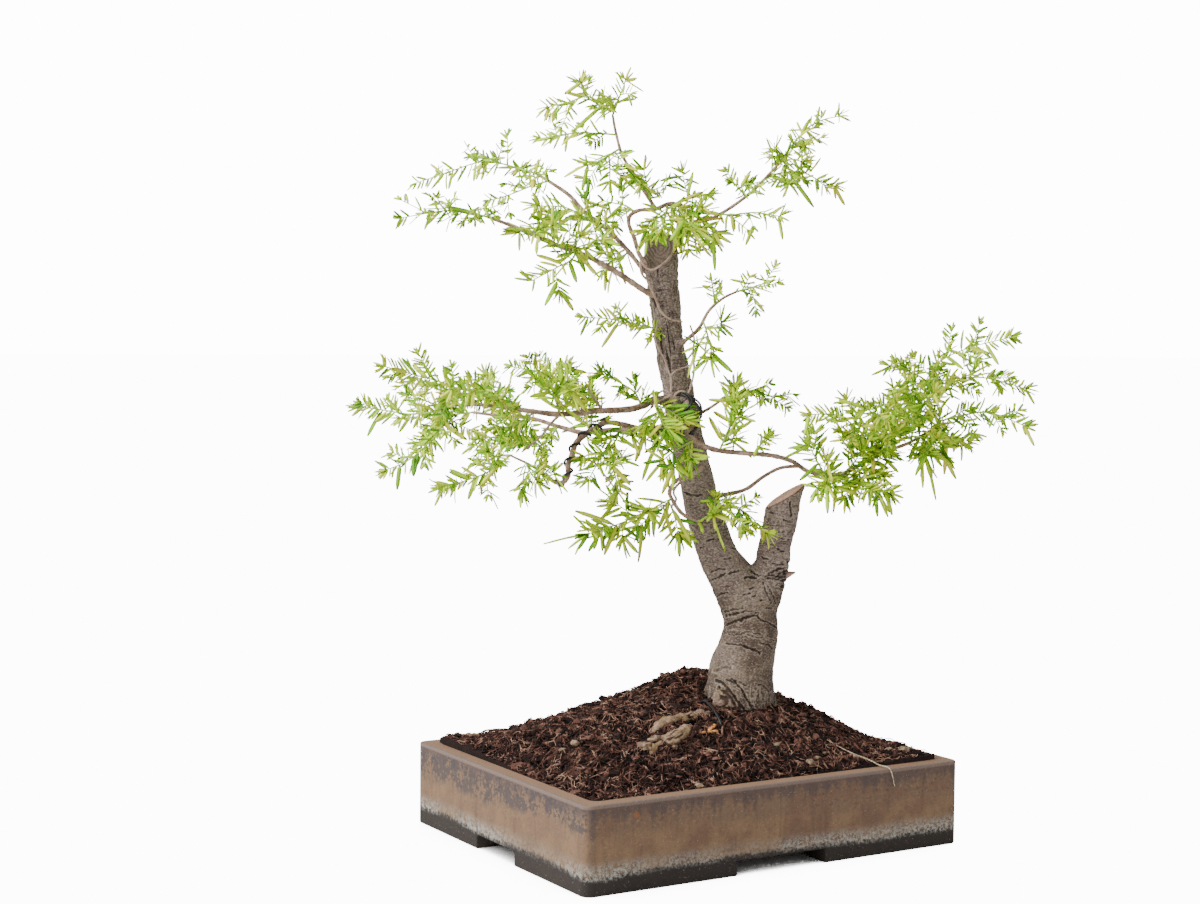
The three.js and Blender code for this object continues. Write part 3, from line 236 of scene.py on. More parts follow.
# Cracks and folds of the bark as shown from the front: width, depth, darkness, and a route of
# across and up.
FOLDS: list[tuple[float, float, float, list[tuple[float, float]]]] = [
    (1.7, 2.2, 1.0, [(-2.9, 183.8), (2.4, 186.9), (8.3, 187.9), (14.9, 190.7), (20.2, 192.5)]),
    (1.0, 1.4, 0.9, [(20.2, 192.5), (26.1, 193.5), (30.9, 189.9), (37.2, 187.8), (46.6, 182.9)]),
    (0.8, 1.0, 0.8, [(-0.3, 192.1), (8.6, 194.7), (17.4, 198.4), (25, 196.1), (30.7, 194.6)]),
    (1.0, 1.3, 0.8, [(0.3, 168.4), (7.1, 167.7), (16.1, 166.2)]),
    (1.6, 1.8, 1.0, [(16.1, 166.2), (21.5, 163.7), (26.9, 162.5), (30.8, 160)]),
    (0.9, 1.1, 0.8, [(30.3, 169.2), (36.6, 168), (43.3, 162.7)]),
    (0.9, 0.9, 0.5, [(1.6, 181.2), (12.3, 180.4), (23.1, 179), (33.8, 175.9)]),
    (0.9, 0.9, 0.5, [(1.3, 176.3), (15.9, 177.5), (30.3, 173.4), (42.8, 172)]),
    (1.0, 1.0, 0.9, [(-2.2, 196.8), (4, 198.6), (14.2, 200.5)]),
    (1.0, 1.0, 0.9, [(-0.4, 193.9), (12.1, 196.2)]),
    (1.0, 1.0, 0.8, [(-9.5, 210.2), (-5.1, 213.3), (1.2, 214.4)]),
    (1.05, 1.1, 1.0, [(-15.9, 224.5), (-6.2, 228.5), (2.2, 231.8), (10.5, 234)]),
    (1.0, 1.0, 0.9, [(-16, 232.2), (-9.8, 234.4), (-1.8, 235.7)]),
    (0.9, 0.8, 1.0, [(14.6, 211.8), (20.1, 213.3)]),
    (0.9, 0.8, 1.0, [(19.9, 217.5), (25.4, 218.9)]),
    (1.0, 1.0, 0.9, [(20.8, 210.3), (25.5, 211.4)]),
    (1.05, 1.1, 0.9, [(29.8, 207.5), (33, 207.9)]),
    (1.05, 1.1, 0.9, [(35.6, 201.1), (40.3, 200.4)]),
    (1.3, 1.6, 1.0, [(16.7, 228), (20.2, 229.1), (25.6, 228.1)]),
    (1.0, 1.4, 0.9, [(22.3, 234.3), (25, 231.1), (29.5, 229.8)]),
    (0.9, 1.1, 0.8, [(31.7, 223.7), (32.9, 219), (35.1, 214.7), (37.3, 210.1), (39.7, 205.8)]),
    (0.8, 1.0, 0.7, [(34.9, 224.8), (36.8, 219.4), (39.5, 214.8), (41.9, 209.8), (44.1, 204.8)]),
    (0.9, 1.3, 0.9, [(36.6, 232.1), (44.1, 234.6), (52.2, 236.6)]),
    (0.9, 1.3, 1.0, [(34, 229.1), (45.5, 231), (53.9, 233.9)]),
    (0.9, 1.3, 1.0, [(36.7, 227.3), (47.4, 226), (52.4, 223.9)]),
    (1.2, 1.6, 1.0, [(45.6, 229.5), (50.6, 227.8), (53.8, 229.6)]),
    (1.7, 2.4, 1.0, [(-8.5, 135.1), (-1.3, 131.2), (5, 125.2), (9.9, 117.6), (16.9, 108.7),
                     (24.4, 104.8)]),
    (1.4, 2.0, 0.9, [(-5.8, 128.7), (2.3, 123.3), (7.8, 114.9), (13.3, 106.5)]),
    (1.3, 2.0, 1.0, [(0.4, 135.6), (7.6, 133.5), (13.9, 128.1), (18.9, 118.1), (27.3, 106.6)]),
    (0.7, 1.0, 0.8, [(4, 137.4), (13, 133.2), (21.6, 129.3)]),
    (0.7, 1.0, 0.8, [(26.9, 133.3), (34.5, 129.6), (40.3, 125.2)]),
    (2.6, 2.0, 0.45, [(-10.4, 144.1), (-3.3, 146.4), (3.8, 147.2)]),
    (1.6, 1.8, 0.9, [(-9, 111), (-4, 109), (1, 111), (3, 116), (0, 120.5)]),
    (1.0, 1.0, 0.9, [(45.6, 269.3), (51.1, 268.6)]),
    (1.05, 1.1, 1.0, [(44.2, 254.2), (50.6, 251.1)]),
    (1.0, 1.0, 0.9, [(48.8, 263), (54.7, 262)]),
    (1.05, 1.1, 1.0, [(50.2, 279.7), (57, 277.9)]),
    (0.9, 0.9, 0.8, [(36.6, 286.7), (42.2, 284.4)]),
    (0.9, 1.0, 1.0, [(54.5, 298), (56, 290), (56.5, 283)]),
    (0.9, 0.9, 0.8, [(33, 262), (38, 260.5)]),
    (0.9, 0.9, 0.9, [(30, 246.5), (36, 245)]),
    (1.0, 1.0, 0.8, [(40, 241), (47, 239.5), (52, 241)]),
    (1.05, 1.1, 0.9, [(-18.5, 260), (-11.4, 262.4)]),
    (0.9, 0.9, 0.8, [(-14.6, 267.2), (-9.8, 268)]),
    (0.9, 0.9, 0.8, [(-24.7, 253.6), (-21, 254.8)]),
    (0.9, 0.9, 0.8, [(3.8, 254.6), (8, 253)]),
    (0.9, 0.9, 0.8, [(-26, 277), (-20, 278.5)]),
    (0.9, 0.9, 0.7, [(-3, 244.5), (3, 246)]),
    (1.05, 1.1, 0.9, [(-41.2, 304.2), (-33.2, 301.1), (-24, 301)]),
    (1.05, 1.1, 0.8, [(-45, 322), (-38, 320), (-30, 321.5)]),
]
WIRE_END: list[Station] = [
    (-24, 108, -30, 1.2), (-19.5, 116, -36, 1.2), (-13, 112, -46, 1.2), (-8, 105, -56, 1.2),
    (-4, 97, -65, 1.2), (-2, 89, -70, 1.2),
]
KNOB_ARCS: list[list[Station]] = [
    [
        (-35.5, 388, -12, 1), (-32.2, 385.5, -21, 1), (-27.8, 381.2, -25, 1),
        (-26.2, 375.8, -26, 1), (-28.2, 370.4, -26, 1), (-34.7, 369.2, -24, 1), (-40, 371, -14, 1),
    ],
    [
        (-47.5, 390, -12, 1), (-43.7, 391.3, -20, 1), (-38.2, 389.2, -24, 1),
        (-34.9, 384.4, -26, 1), (-35.9, 380, -26, 1), (-39.2, 376.8, -25, 1), (-44, 376, -18, 1),
    ],
    [
        (-26, 370, -12, 1), (-28.2, 366.1, -21, 1), (-30.3, 359.5, -25, 1), (-33.6, 356.2, -25, 1),
        (-38.5, 355.5, -19, 1),
    ],
]
SPRAYS: dict[str, tuple[float, list[Route]]] = {
    "leader_tip": (14, [
        [(-106, 636, 5), (-101, 650, 3), (-97, 660, -3), (-95, 667, -10)],
        [(-101, 650, 3), (-110, 649, -6), (-115, 645, -15)],
        [(-105, 639, 5), (-118, 645, 2), (-130, 653, -4), (-134, 664, -15)],
        [(-130, 653, -4), (-145, 647, 0), (-162, 643, 4)],
    ]),
    "leader_mid": (12, [
        [(-103, 619, 4), (-118, 620, 9), (-140, 620, 15), (-170, 615, 26)],
    ]),
    "leader_low": (16, [
        [(-99, 607, 3), (-109, 601, -8), (-118, 595, -18), (-128, 592, -26)],
        [(-109, 601, -8), (-108, 590, -17), (-108, 578, -21)],
    ]),
    "leader_small": (15, [
        [(-72, 562, -4), (-75, 575, -14), (-78, 588, -20)],
        [(-75, 575, -14), (-86, 580, -22)],
    ]),
    "upper_left_tip": (12, [
        [(-174, 585, 59), (-190, 589, 66), (-205, 593, 69), (-222, 594, 73), (-250, 585, 78),
         (-279, 575, 82)],
        [(-190, 589, 66), (-178, 586, 38), (-169, 584, 15), (-165, 583, -3)],
        [(-205, 593, 69), (-215, 597, 50), (-226, 597, 36)],
    ]),
    "upper_left_under": (11, [
        [(-162, 578, 53), (-178, 573, 54), (-195, 566, 53), (-214, 560, 50)],
    ]),
    "upper_left_dense": (19, [
        [(-122, 545, 32), (-122, 541, 16), (-121, 536, 2), (-120, 533, -11)],
        [(-122, 541, 16), (-134, 549, 10), (-148, 555, 8), (-170, 556, 9)],
    ]),
    "lower_left_tip": (12, [
        [(-216, 546, -46), (-235, 550, -53), (-252, 551, -58), (-272, 548, -63), (-293, 544, -69)],
        [(-235, 550, -53), (-224, 552, -73), (-217, 554, -92)],
        [(-252, 551, -58), (-257, 556, -74), (-260, 562, -82)],
    ]),
    "lower_left_mid": (18, [
        [(-170, 529, -32), (-166, 534, -49), (-161, 537, -65), (-158, 539, -78)],
        [(-166, 534, -49), (-178, 536, -64), (-187, 533, -72)],
    ]),
    "lower_left_hang": (16, [
        [(-140, 517, -24), (-137, 523, -38), (-133, 529, -50)],
        [(-137, 523, -38), (-140, 510, -50), (-152, 503, -60), (-176, 490, -74)],
    ]),
    "upper_left_inner": (15, [
        [(-91, 517, 20), (-97, 509, 30), (-104, 501, 40)],
        [(-97, 509, 30), (-102, 518, 43), (-108, 524, 53)],
    ]),
    "crown_main": (19, [
        [(-34, 550, -8), (-34, 544, -22), (-33, 538, -34), (-32, 535, -44)],
        [(-34, 544, -22), (-24, 538, -29), (-16, 534, -34)],
    ]),
    "crown_left": (17, [
        [(-57, 558, -6), (-58, 551, -18), (-60, 543, -28), (-61, 537, -36)],
        [(-58, 551, -18), (-68, 544, -24), (-75, 536, -30)],
    ]),
    "crown_back": (16, [
        [(-48, 557, -7), (-46, 560, 8), (-42, 556, 22), (-40, 550, 34)],
        [(-46, 560, 8), (-34, 566, 16), (-22, 566, 23)],
    ]),
    "crown_right": (14, [
        [(-12, 550, -3), (2, 550, -12), (20, 552, -19), (42, 549, -28)],
    ]),
    "crown_hang": (18, [
        [(-40, 554, -8), (-42, 543, 0), (-40, 530, 8), (-38, 520, 14)],
    ]),
    "crown_twig": (11, [
        [(-85, 551, -4), (-94, 557, 6), (-104, 559, 14), (-113, 561, 22)],
    ]),
    "right_top_tip": (13, [
        [(50, 608, 22), (58, 618, 26), (68, 628, 30), (80, 634, 33), (93, 637, 36)],
        [(58, 618, 26), (62, 613, 7), (64, 610, -10)],
    ]),
    "right_top_star": (16, [
        [(42, 597, 18), (44, 600, 0), (47, 602, -19)],
        [(44, 600, 0), (36, 602, -12)],
    ]),
    "right_top_right": (14, [
        [(31, 584, 13), (50, 588, 22), (64, 587, 33), (78, 580, 41), (90, 576, 46)],
        [(50, 588, 22), (52, 582, 3), (50, 577, -13)],
    ]),
    "right_top_left": (12, [
        [(12, 566, 4), (6, 573, -7), (0, 578, -17)],
        [(6, 573, -7), (15, 577, -18), (25, 575, -28)],
    ]),
    "right_small_tip": (12, [
        [(5, 482, -29), (16, 485, -35), (28, 487, -42), (41, 490, -51)],
    ]),
    "right_small_up": (11, [
        [(-14, 470, -20), (-15, 480, -27), (-17, 491, -34)],
    ]),
    "right_small_star": (21, [
        [(-24, 456, -16), (-20, 444, -26), (-17, 432, -35), (-16, 424, -41)],
    ]),
    "left_small": (11, [
        [(-54, 446, 4), (-72, 450, -6), (-88, 453, -10), (-108, 457, -15), (-131, 458, -23)],
    ]),
    "right_mid": (12, [
        [(-4, 388, 17), (8, 392, 22), (20, 394, 29), (39, 390, 38), (56, 392, 48)],
    ]),
    "right_mid_twig": (20, [
        [(-8, 341, -22), (-2, 356, -26), (3, 368, -31), (6, 384, -41)],
    ]),
    "right_rosette": (14, [
        [(22, 338, -21), (28, 346, -31), (33, 352, -42)],
    ]),
    "main_tip": (13, [
        [(-234, 381, -63), (-242, 393, -66), (-254, 399, -69), (-280, 406, -76), (-306, 413, -86)],
        [(-242, 393, -66), (-256, 376, -50), (-281, 371, -43), (-305, 374, -36), (-328, 377, -30)],
        [(-256, 376, -50), (-256, 358, -76), (-270, 342, -89), (-286, 329, -92), (-304, 321, -96)],
    ]),
    "main_front": (14, [
        [(-196, 377, -54), (-206, 384, -82), (-222, 391, -106), (-246, 394, -129)],
        [(-206, 384, -82), (-210, 396, -76), (-216, 406, -69)],
    ]),
    "main_up": (16, [
        [(-150, 372, -40), (-155, 386, -50), (-164, 395, -61), (-172, 403, -72)],
        [(-155, 386, -50), (-147, 398, -60), (-141, 407, -66)],
    ]),
    "main_over": (12, [
        [(-112, 376, -26), (-124, 388, -16), (-143, 399, -12), (-162, 408, -3), (-194, 414, 13)],
    ]),
    "main_inner": (13, [
        [(-78, 380, -14), (-84, 392, -23), (-98, 401, -31), (-114, 408, -41)],
    ]),
    "second_tip": (13, [
        [(-228, 373, 59), (-244, 370, 73), (-260, 358, 86), (-276, 346, 96)],
        [(-244, 370, 73), (-262, 380, 86), (-284, 388, 99)],
    ]),
    "second_up": (13, [
        [(-190, 369, 53), (-200, 382, 66), (-214, 392, 82), (-234, 398, 99)],
    ]),
    "second_low": (12, [
        [(-176, 368, 50), (-188, 358, 63), (-204, 350, 76), (-226, 344, 89)],
    ]),
    "second_under": (12, [
        [(-152, 361, 43), (-160, 350, 36), (-172, 343, 23), (-192, 350, 10)],
    ]),
    "second_mid": (14, [
        [(-126, 356, 32), (-122, 366, 48), (-124, 378, 67), (-130, 390, 85)],
    ]),
    "hang_tip": (14, [
        [(-194, 335, -73), (-212, 321, -76), (-234, 312, -79), (-254, 306, -82)],
        [(-212, 321, -76), (-208, 332, -96), (-214, 338, -112)],
    ]),
    "hang_cluster": (16, [
        [(-180, 329, -69), (-176, 320, -89), (-170, 312, -106)],
    ]),
    "hang_inner": (16, [
        [(-96, 363, -24), (-100, 350, -40), (-112, 336, -58), (-120, 322, -71), (-124, 314, -79)],
        [(-112, 336, -58), (-102, 322, -50), (-98, 304, -48)],
    ]),
    "low_left": (24, [
        [(-50, 299, -17), (-61, 287, -23), (-77, 283, -30), (-99, 274, -41), (-123, 266, -60)],
    ]),
    "front_upper": (23, [
        [(-66, 385, -11), (-64, 376, -26), (-60, 368, -38), (-56, 360, -46)],
    ]),
    "front_lower": (24, [
        [(-31, 350, -22), (-40, 345, -34), (-50, 339, -44), (-58, 332, -50)],
    ]),
    "front_rosette": (20, [
        [(-27, 277, -19), (-18, 282, -28), (-13, 284, -36)],
    ]),
    "pad_tip": (13, [
        [(178, 360, 7), (187, 369, 10), (184, 386, 7), (179, 402, 0), (182, 418, -7),
         (208, 433, -13), (248, 444, -20)],
        [(184, 386, 7), (201, 405, 33), (226, 408, 43), (262, 399, 53)],
        [(187, 369, 10), (209, 375, 3), (232, 377, -7), (262, 366, -16)],
        [(179, 402, 0), (164, 411, -16), (142, 418, -33)],
    ]),
    "pad_middle": (14, [
        [(146, 344, 0), (147, 353, -3), (144, 366, -30), (148, 384, -56)],
        [(147, 353, -3), (152, 366, 30), (150, 382, 56), (146, 398, 76)],
        [(144, 366, -30), (132, 374, -50), (120, 380, -63)],
    ]),
    "pad_centre": (14, [
        [(162, 350, 3), (164, 370, -10), (162, 388, -26), (158, 402, -43)],
        [(164, 370, -10), (174, 384, -33), (182, 394, -53)],
    ]),
    "pad_left": (13, [
        [(122, 333, -3), (118, 348, -16), (111, 364, -33), (94, 374, -46), (72, 374, -54)],
        [(118, 348, -16), (122, 362, 16), (112, 378, 40), (104, 386, 53)],
    ]),
    "pad_low": (16, [
        [(170, 355, 5), (176, 348, -16), (178, 341, -40)],
        [(176, 348, -16), (192, 356, 7), (206, 352, 23)],
    ]),
    "pad_under": (17, [
        [(105, 324, -5), (114, 316, -23), (124, 309, -40), (134, 303, -53)],
    ]),
    "pad_base": (18, [
        [(86, 322, -10), (88, 317, -32), (88, 313, -51)],
        [(88, 317, -32), (78, 334, -41), (72, 346, -46)],
    ]),
}

# Fine shoots that stand before the trunk.
FINE_SPRAYS: dict[str, tuple[float, list[Route]]] = {
    "front_low_twig": (13, [
        [(-18, 282, -28), (-3, 289, -31), (10, 289, -31), (21, 282, -31), (29, 273, -31),
         (35, 268, -31)],
        [(10, 289, -31), (13, 279, -34), (14, 272, -36)],
    ]),
    "second_inner": (11, [
        [(-151, 361, 43), (-165, 352, 40), (-182, 346, 38), (-198, 347, 36)],
        [(-175, 368, 49), (-190, 360, 46), (-206, 352, 44), (-222, 350, 42)],
    ]),
    "main_under": (12, [
        [(-172, 374, -49), (-184, 366, -52), (-198, 360, -55), (-214, 358, -58)],
    ]),
    "pad_stem": (15, [
        [(104, 323, -7), (112, 332, -14), (118, 342, -18)],
        [(120, 332, -4), (128, 344, -12), (132, 352, -15)],
        [(112, 327, -5), (122, 324, -14), (133, 322, -20)],
    ]),
    "pad_hanging_star": (26, [
        [(159, 349, 3), (168, 344, -6), (175, 338, -10)],
    ]),
    "crown_drop": (23, [
        [(-50, 556, -12), (-51, 547, -19), (-52, 540, -22)],
        [(-38, 553, -12), (-37, 544, -20), (-37, 537, -24)],
    ]),
}


def lerp(low: float, high: float, share: float) -> float:
    """Return the value at a share of the way from low to high."""
    return low + (high - low) * share


def smoothstep(low: float, high: float, value: float) -> float:
    """Return 0 below low, 1 above high, and a smooth rise between them."""
    share = min(max((value - low) / (high - low), 0.0), 1.0)
    return share * share * (3 - 2 * share)


def hex_colour(code: int) -> tuple[float, float, float, float]:
    """Turn a screen colour such as 0x8C705C into a linear colour with alpha."""
    parts = [((code >> shift) & 255) / 255 for shift in (16, 8, 0)]
    linear = [p / 12.92 if p <= 0.04045 else ((p + 0.055) / 1.055) ** 2.4 for p in parts]
    return (linear[0], linear[1], linear[2], 1.0)


class Slot(Enum):
    """The record's material slots."""

    POT = "pot_clay"
    SCREEN = "screen_plastic"
    SOIL = "soil"
    BARK = "bark"
    WIRE = "training_wire"
    LEAF = "leaf"


class Mark(Enum):
    """The attributes that the meshes carry for their materials."""

    TONE = "tone"
    ALONG = "along"
    ACROSS = "across"
    # Cracks and folds, with painted shade in the burl's hollows and the roots' grooves.
    CRACK_AND_SHADE = "crack"
    CUT = "cut"
    RING = "ring"
    ROOT = "root"


class Number:
    """A number socket. A sum that it stands in adds Math nodes to the material."""

    def __init__(self, shader: Nodes, socket: bpy.types.NodeSocket) -> None:
        """Keep the socket and the shader that it belongs to."""
        self.shader = shader
        self.socket = socket

    def math(self, operation: str, *values: Number | float) -> Number:
        """Add one Math node.

        Args:
            operation: The node's operation, such as ADD.
            values: Its one to three values.

        Returns:
            The node's result.
        """
        node = self.shader.node(
            "ShaderNodeMath", {"operation": operation}, dict(enumerate(values))
        )
        return Number(self.shader, node.outputs[0])

    def __add__(self, other: Number | float) -> Number:
        """Return self + other."""
        return self.math("ADD", self, other)

    def __radd__(self, other: float) -> Number:
        """Return other + self."""
        return self.math("ADD", other, self)

    def __sub__(self, other: Number | float) -> Number:
        """Return self - other."""
        return self.math("SUBTRACT", self, other)

    def __rsub__(self, other: float) -> Number:
        """Return other - self."""
        return self.math("SUBTRACT", other, self)

    def __mul__(self, other: Number | float) -> Number:
        """Return self * other."""
        return self.math("MULTIPLY", self, other)

    def __rmul__(self, other: float) -> Number:
        """Return other * self."""
        return self.math("MULTIPLY", other, self)

    def __abs__(self) -> Number:
        """Return the size of self without its sign."""
        return self.math("ABSOLUTE", self)

    def sine(self) -> Number:
        """Return the sine of self."""
        return self.math("SINE", self)

    def rise(self, low: float, high: float) -> Number:
        """Return 0 below low, 1 above high, and a smooth rise between them."""
        node = self.shader.node(
            "ShaderNodeMapRange",
            {"interpolation_type": "SMOOTHSTEP"},
            {0: self, 1: low, 2: high, 3: 0.0, 4: 1.0},
        )
        return Number(self.shader, node.outputs[0])


class Nodes:
    """A tree of nodes, and the one way to add to it."""

    def __init__(self, tree: bpy.types.NodeTree) -> None:
        """Keep the tree that the nodes go into."""
        self.tree = tree

    def node(self, kind: str, settings: dict, inputs: dict) -> bpy.types.Node:
        """Add a node.

        Args:
            kind: The node's type.
            settings: Its settings, set before its sockets. A ramp's are its stops.
            inputs: A value, a socket or a Number for each socket, by name or place.

        Returns:
            The node.
        """
        node = self.tree.nodes.new(kind)
        for key, value in settings.items():
            if key == "stops":
                self.set_stops(node.color_ramp.elements, value)
            else:
                setattr(node, key, value)
        for key, value in inputs.items():
            if isinstance(value, Number):
                value = value.socket
            if isinstance(value, bpy.types.NodeSocket):
                self.tree.links.new(value, node.inputs[key])
            else:
                node.inputs[key].default_value = value
        return node

    @staticmethod
    def set_stops(elements: bpy.types.ColorRampElements, stops: list[tuple[float, int]]) -> None:
        """Give a ramp its stops of place and colour code."""
        while len(elements) < len(stops):
            elements.new(0.5)
        for element, (place, code) in zip(elements, stops):
            element.position = place
            element.color = hex_colour(code)


class Shader(Nodes):
    """A material with one Principled shader, and the means to paint it."""

    def __init__(self, name: str, roughness: float, specular: float = 0.5) -> None:
        """Make an empty material.

        Args:
            name: The material's name.
            roughness: Its roughness where nothing is linked to that socket.
            specular: Its specular level, the same all over.
        """
        self.material = bpy.data.materials.new(name)
        self.material.use_nodes = True
        super().__init__(self.material.node_tree)
        self.principled = self.tree.nodes["Principled BSDF"]
        self.principled.inputs["Roughness"].default_value = roughness
        self.principled.inputs["Specular IOR Level"].default_value = specular

    def point(self) -> bpy.types.NodeSocket:
        """Return the place on the piece, in metres."""
        return self.node("ShaderNodeTexCoord", {}, {}).outputs["Object"]

    def scaled(self, vector: bpy.types.NodeSocket, scale: Colour) -> bpy.types.NodeSocket:
        """Return a vector stretched by a scale along each axis."""
        mapping = self.node("ShaderNodeMapping", {}, {"Vector": vector, "Scale": scale})
        return mapping.outputs[0]

    def away(self, spot: Colour) -> Number:
        """Return the distance from a fixed point, in metres."""
        inputs = {0: self.point(), 1: spot}
        node = self.node("ShaderNodeVectorMath", {"operation": "DISTANCE"}, inputs)
        return Number(self, node.outputs[1])

    def place(self) -> list[Number]:
        """Return the place on the piece as across, back and height, in metres."""
        split = self.node("ShaderNodeSeparateXYZ", {}, {0: self.point()})
        return [Number(self, output) for output in split.outputs]

    def height(self) -> Number:
        """Return the height above the surface that the pot stands on, in metres."""
        return self.place()[2]

    def mark(self, mark: Mark) -> Number:
        """Return one of the mesh's own attributes."""
        node = self.node("ShaderNodeAttribute", {"attribute_name": mark.value}, {})
        return Number(self, node.outputs["Fac"])

    def grain(
        self,
        scale: float,
        detail: float = 2.0,
        stretch: Colour = (1.0, 1.0, 1.0),
        warp: float = 0.0,
    ) -> Number:
        """Return noise round 0.5.

        Args:
            scale: Repeats in a metre.
            detail: Octaves.
            stretch: A further scale along each axis.
            warp: How far the noise is bent by itself.

        Returns:
            The noise.
        """
        vector = self.point() if stretch == (1.0, 1.0, 1.0) else self.scaled(self.point(), stretch)
        inputs = {"Vector": vector, "Scale": scale, "Detail": detail, "Distortion": warp}
        return Number(self, self.node("ShaderNodeTexNoise", {}, inputs).outputs[0])

    def mix(self, share: Number | float, first: object, second: object) -> bpy.types.NodeSocket:
        """Mix two colours.

        Args:
            share: The second colour's share.
            first: A colour code or a colour socket.
            second: A colour code or a colour socket.

        Returns:
            The mixed colour.
        """
        first, second = (hex_colour(c) if isinstance(c, int) else c for c in (first, second))
        settings = {"data_type": "RGBA", "clamp_factor": True}
        return self.node("ShaderNodeMix", settings, {0: share, 6: first, 7: second}).outputs[2]

    def ramp(self, share: Number, stops: list[tuple[float, int]]) -> bpy.types.NodeSocket:
        """Return the colour at a share along stops of place and colour code."""
        return self.node("ShaderNodeValToRGB", {"stops": stops}, {0: share}).outputs[0]

    def finish(
        self,
        colour: bpy.types.NodeSocket,
        relief: Number | None = None,
        depth: float = 0.0005,
        roughness: Number | None = None,
    ) -> bpy.types.Material:
        """Link the colour and the relief.

        Args:
            colour: The base colour.
            relief: The height of fine relief, round 0.5.
            depth: How deep the relief is, in metres.
            roughness: The roughness, where it varies.

        Returns:
            The material.
        """
        self.tree.links.new(colour, self.principled.inputs["Base Color"])
        if relief is not None:
            bump = self.node(
                "ShaderNodeBump", {}, {"Strength": 1.0, "Distance": depth, "Height": relief}
            )
            self.tree.links.new(bump.outputs[0], self.principled.inputs["Normal"])
        if roughness is not None:
            self.tree.links.new(roughness.socket, self.principled.inputs["Roughness"])
        return self.material


@dataclass(frozen=True)
class ClayFinish:
    """Matte brown fired clay with slate patches, a mineral deposit and a dark foot."""

    clay: int = 0x705645
    clay_pale: int = 0x83684F
    clay_dark: int = 0x4E3C31
    slate: int = 0x433D40
    rust: int = 0x8A5634
    deposit: int = 0xB2B0A8
    foot: int = 0x2A2726
    rim: int = 0x8E6F57
    # Grey of the painted highlight along the outer edge of the rim top.
    edge: int = 0x6E6462
    middle: tuple[float, float] = (-0.01478, -0.03082)
    half: tuple[float, float] = (0.19, 0.151)
    chip: Colour = (-0.158, -0.182, 0.0615)

    def material(self) -> bpy.types.Material:
        """Return the material."""
        shader = Shader("fired_clay", 0.8, 0.32)
        across, back, height = shader.place()
        broad = shader.grain(14, 3)
        cloud = shader.grain(48, 4)
        fine = shader.grain(330, 4)
        speck = shader.grain(1300, 3)
        streak = shader.grain(150, 3, (1.0, 1.0, 0.14))
        past_end = abs(across - self.middle[0]) - self.half[0]
        past_side = abs(back - self.middle[1]) - self.half[1]
        inside = past_end.math("MAXIMUM", past_end, past_side) * -1
        left = 1 - across.rise(-0.2035, -0.2018)
        colour = shader.mix(cloud.rise(0.34, 0.66), self.clay, self.clay_pale)
        # Painted light: the left end face is painted paler, as the light falls more on that face.
        colour = shader.mix(left * 0.35, colour, self.clay_pale)
        colour = shader.mix(streak.rise(0.5, 0.72) * 0.3, colour, self.clay_dark)
        colour = shader.mix(fine.rise(0.55, 0.7) * 0.3, colour, self.clay_dark)
        near_rim = height.rise(0.058, 0.069) * cloud.rise(0.4, 0.6)
        colour = shader.mix(near_rim * 0.2, colour, self.rust)
        level = height + (broad - 0.5) * 0.03 + (cloud - 0.5) * 0.02
        band = level.rise(0.042, 0.053) * (1 - level.rise(0.066, 0.076) * 0.6)
        grainy = (fine * 1.2 + (cloud - 0.5) * 1.3 - 0.1).rise(0.38, 0.56)
        colour = shader.mix(band * grainy * (left * 0.5 + 0.3), colour, self.slate)
        drips = height + (streak - 0.5) * 0.024 + (fine - 0.5) * 0.008
        colour = shader.mix(drips.rise(0.057, 0.068) * 0.6, colour, self.slate)
        beside = (across - self.middle[0] + self.half[0]) * 0.8
        beside = beside + (back - self.middle[1] + self.half[1]) * 3 + (cloud - 0.5) * 0.006
        corner = (1 - beside.rise(0.004, 0.0085)) * height.rise(0.02, 0.05)
        colour = shader.mix(corner * 0.75, colour, self.slate)
        ragged = height + (broad - 0.5) * 0.009 + (fine - 0.5) * 0.005
        foot = 1 - ragged.rise(0.0145, 0.0185)
        crust = ragged.rise(0.012, 0.0175) * (1 - ragged.rise(0.0185, 0.031))
        crust = crust * (fine * 0.5 + speck * 0.5).rise(0.42, 0.58)
        crust = crust * (broad.rise(0.35, 0.6) * 0.7 + 0.3)
        colour = shader.mix(foot * 0.94, colour, self.foot)
        colour = shader.mix(crust * 0.95, colour, self.deposit)
        top = height.rise(0.0695, 0.0716)
        colour = shader.mix(top * (0.7 + cloud * 0.5), colour, self.rim)
        # Painted highlight: a grey band along the outer edge of the rim top stands in for the
        # sheen on its rounded edge.
        rounded = (inside + (fine - 0.5) * 0.002).rise(0.0012, 0.0032)
        colour = shader.mix(top * (1 - rounded) * 0.7, colour, self.edge)
        away = shader.away(self.chip) + (speck - 0.5) * 0.004
        colour = shader.mix((1 - away.rise(0.002, 0.0032)) * 0.8, colour, self.rust)
        colour = shader.mix(speck.rise(0.6, 0.72) * 0.4, colour, self.foot)
        colour = shader.mix(shader.grain(900, 1).rise(0.72, 0.76) * 0.5, colour, self.deposit)
        relief = speck * 0.5 + fine * 0.7 + crust * 0.5
        return shader.finish(colour, relief, 0.0006, 0.72 + foot * 0.12 + crust * 0.12)


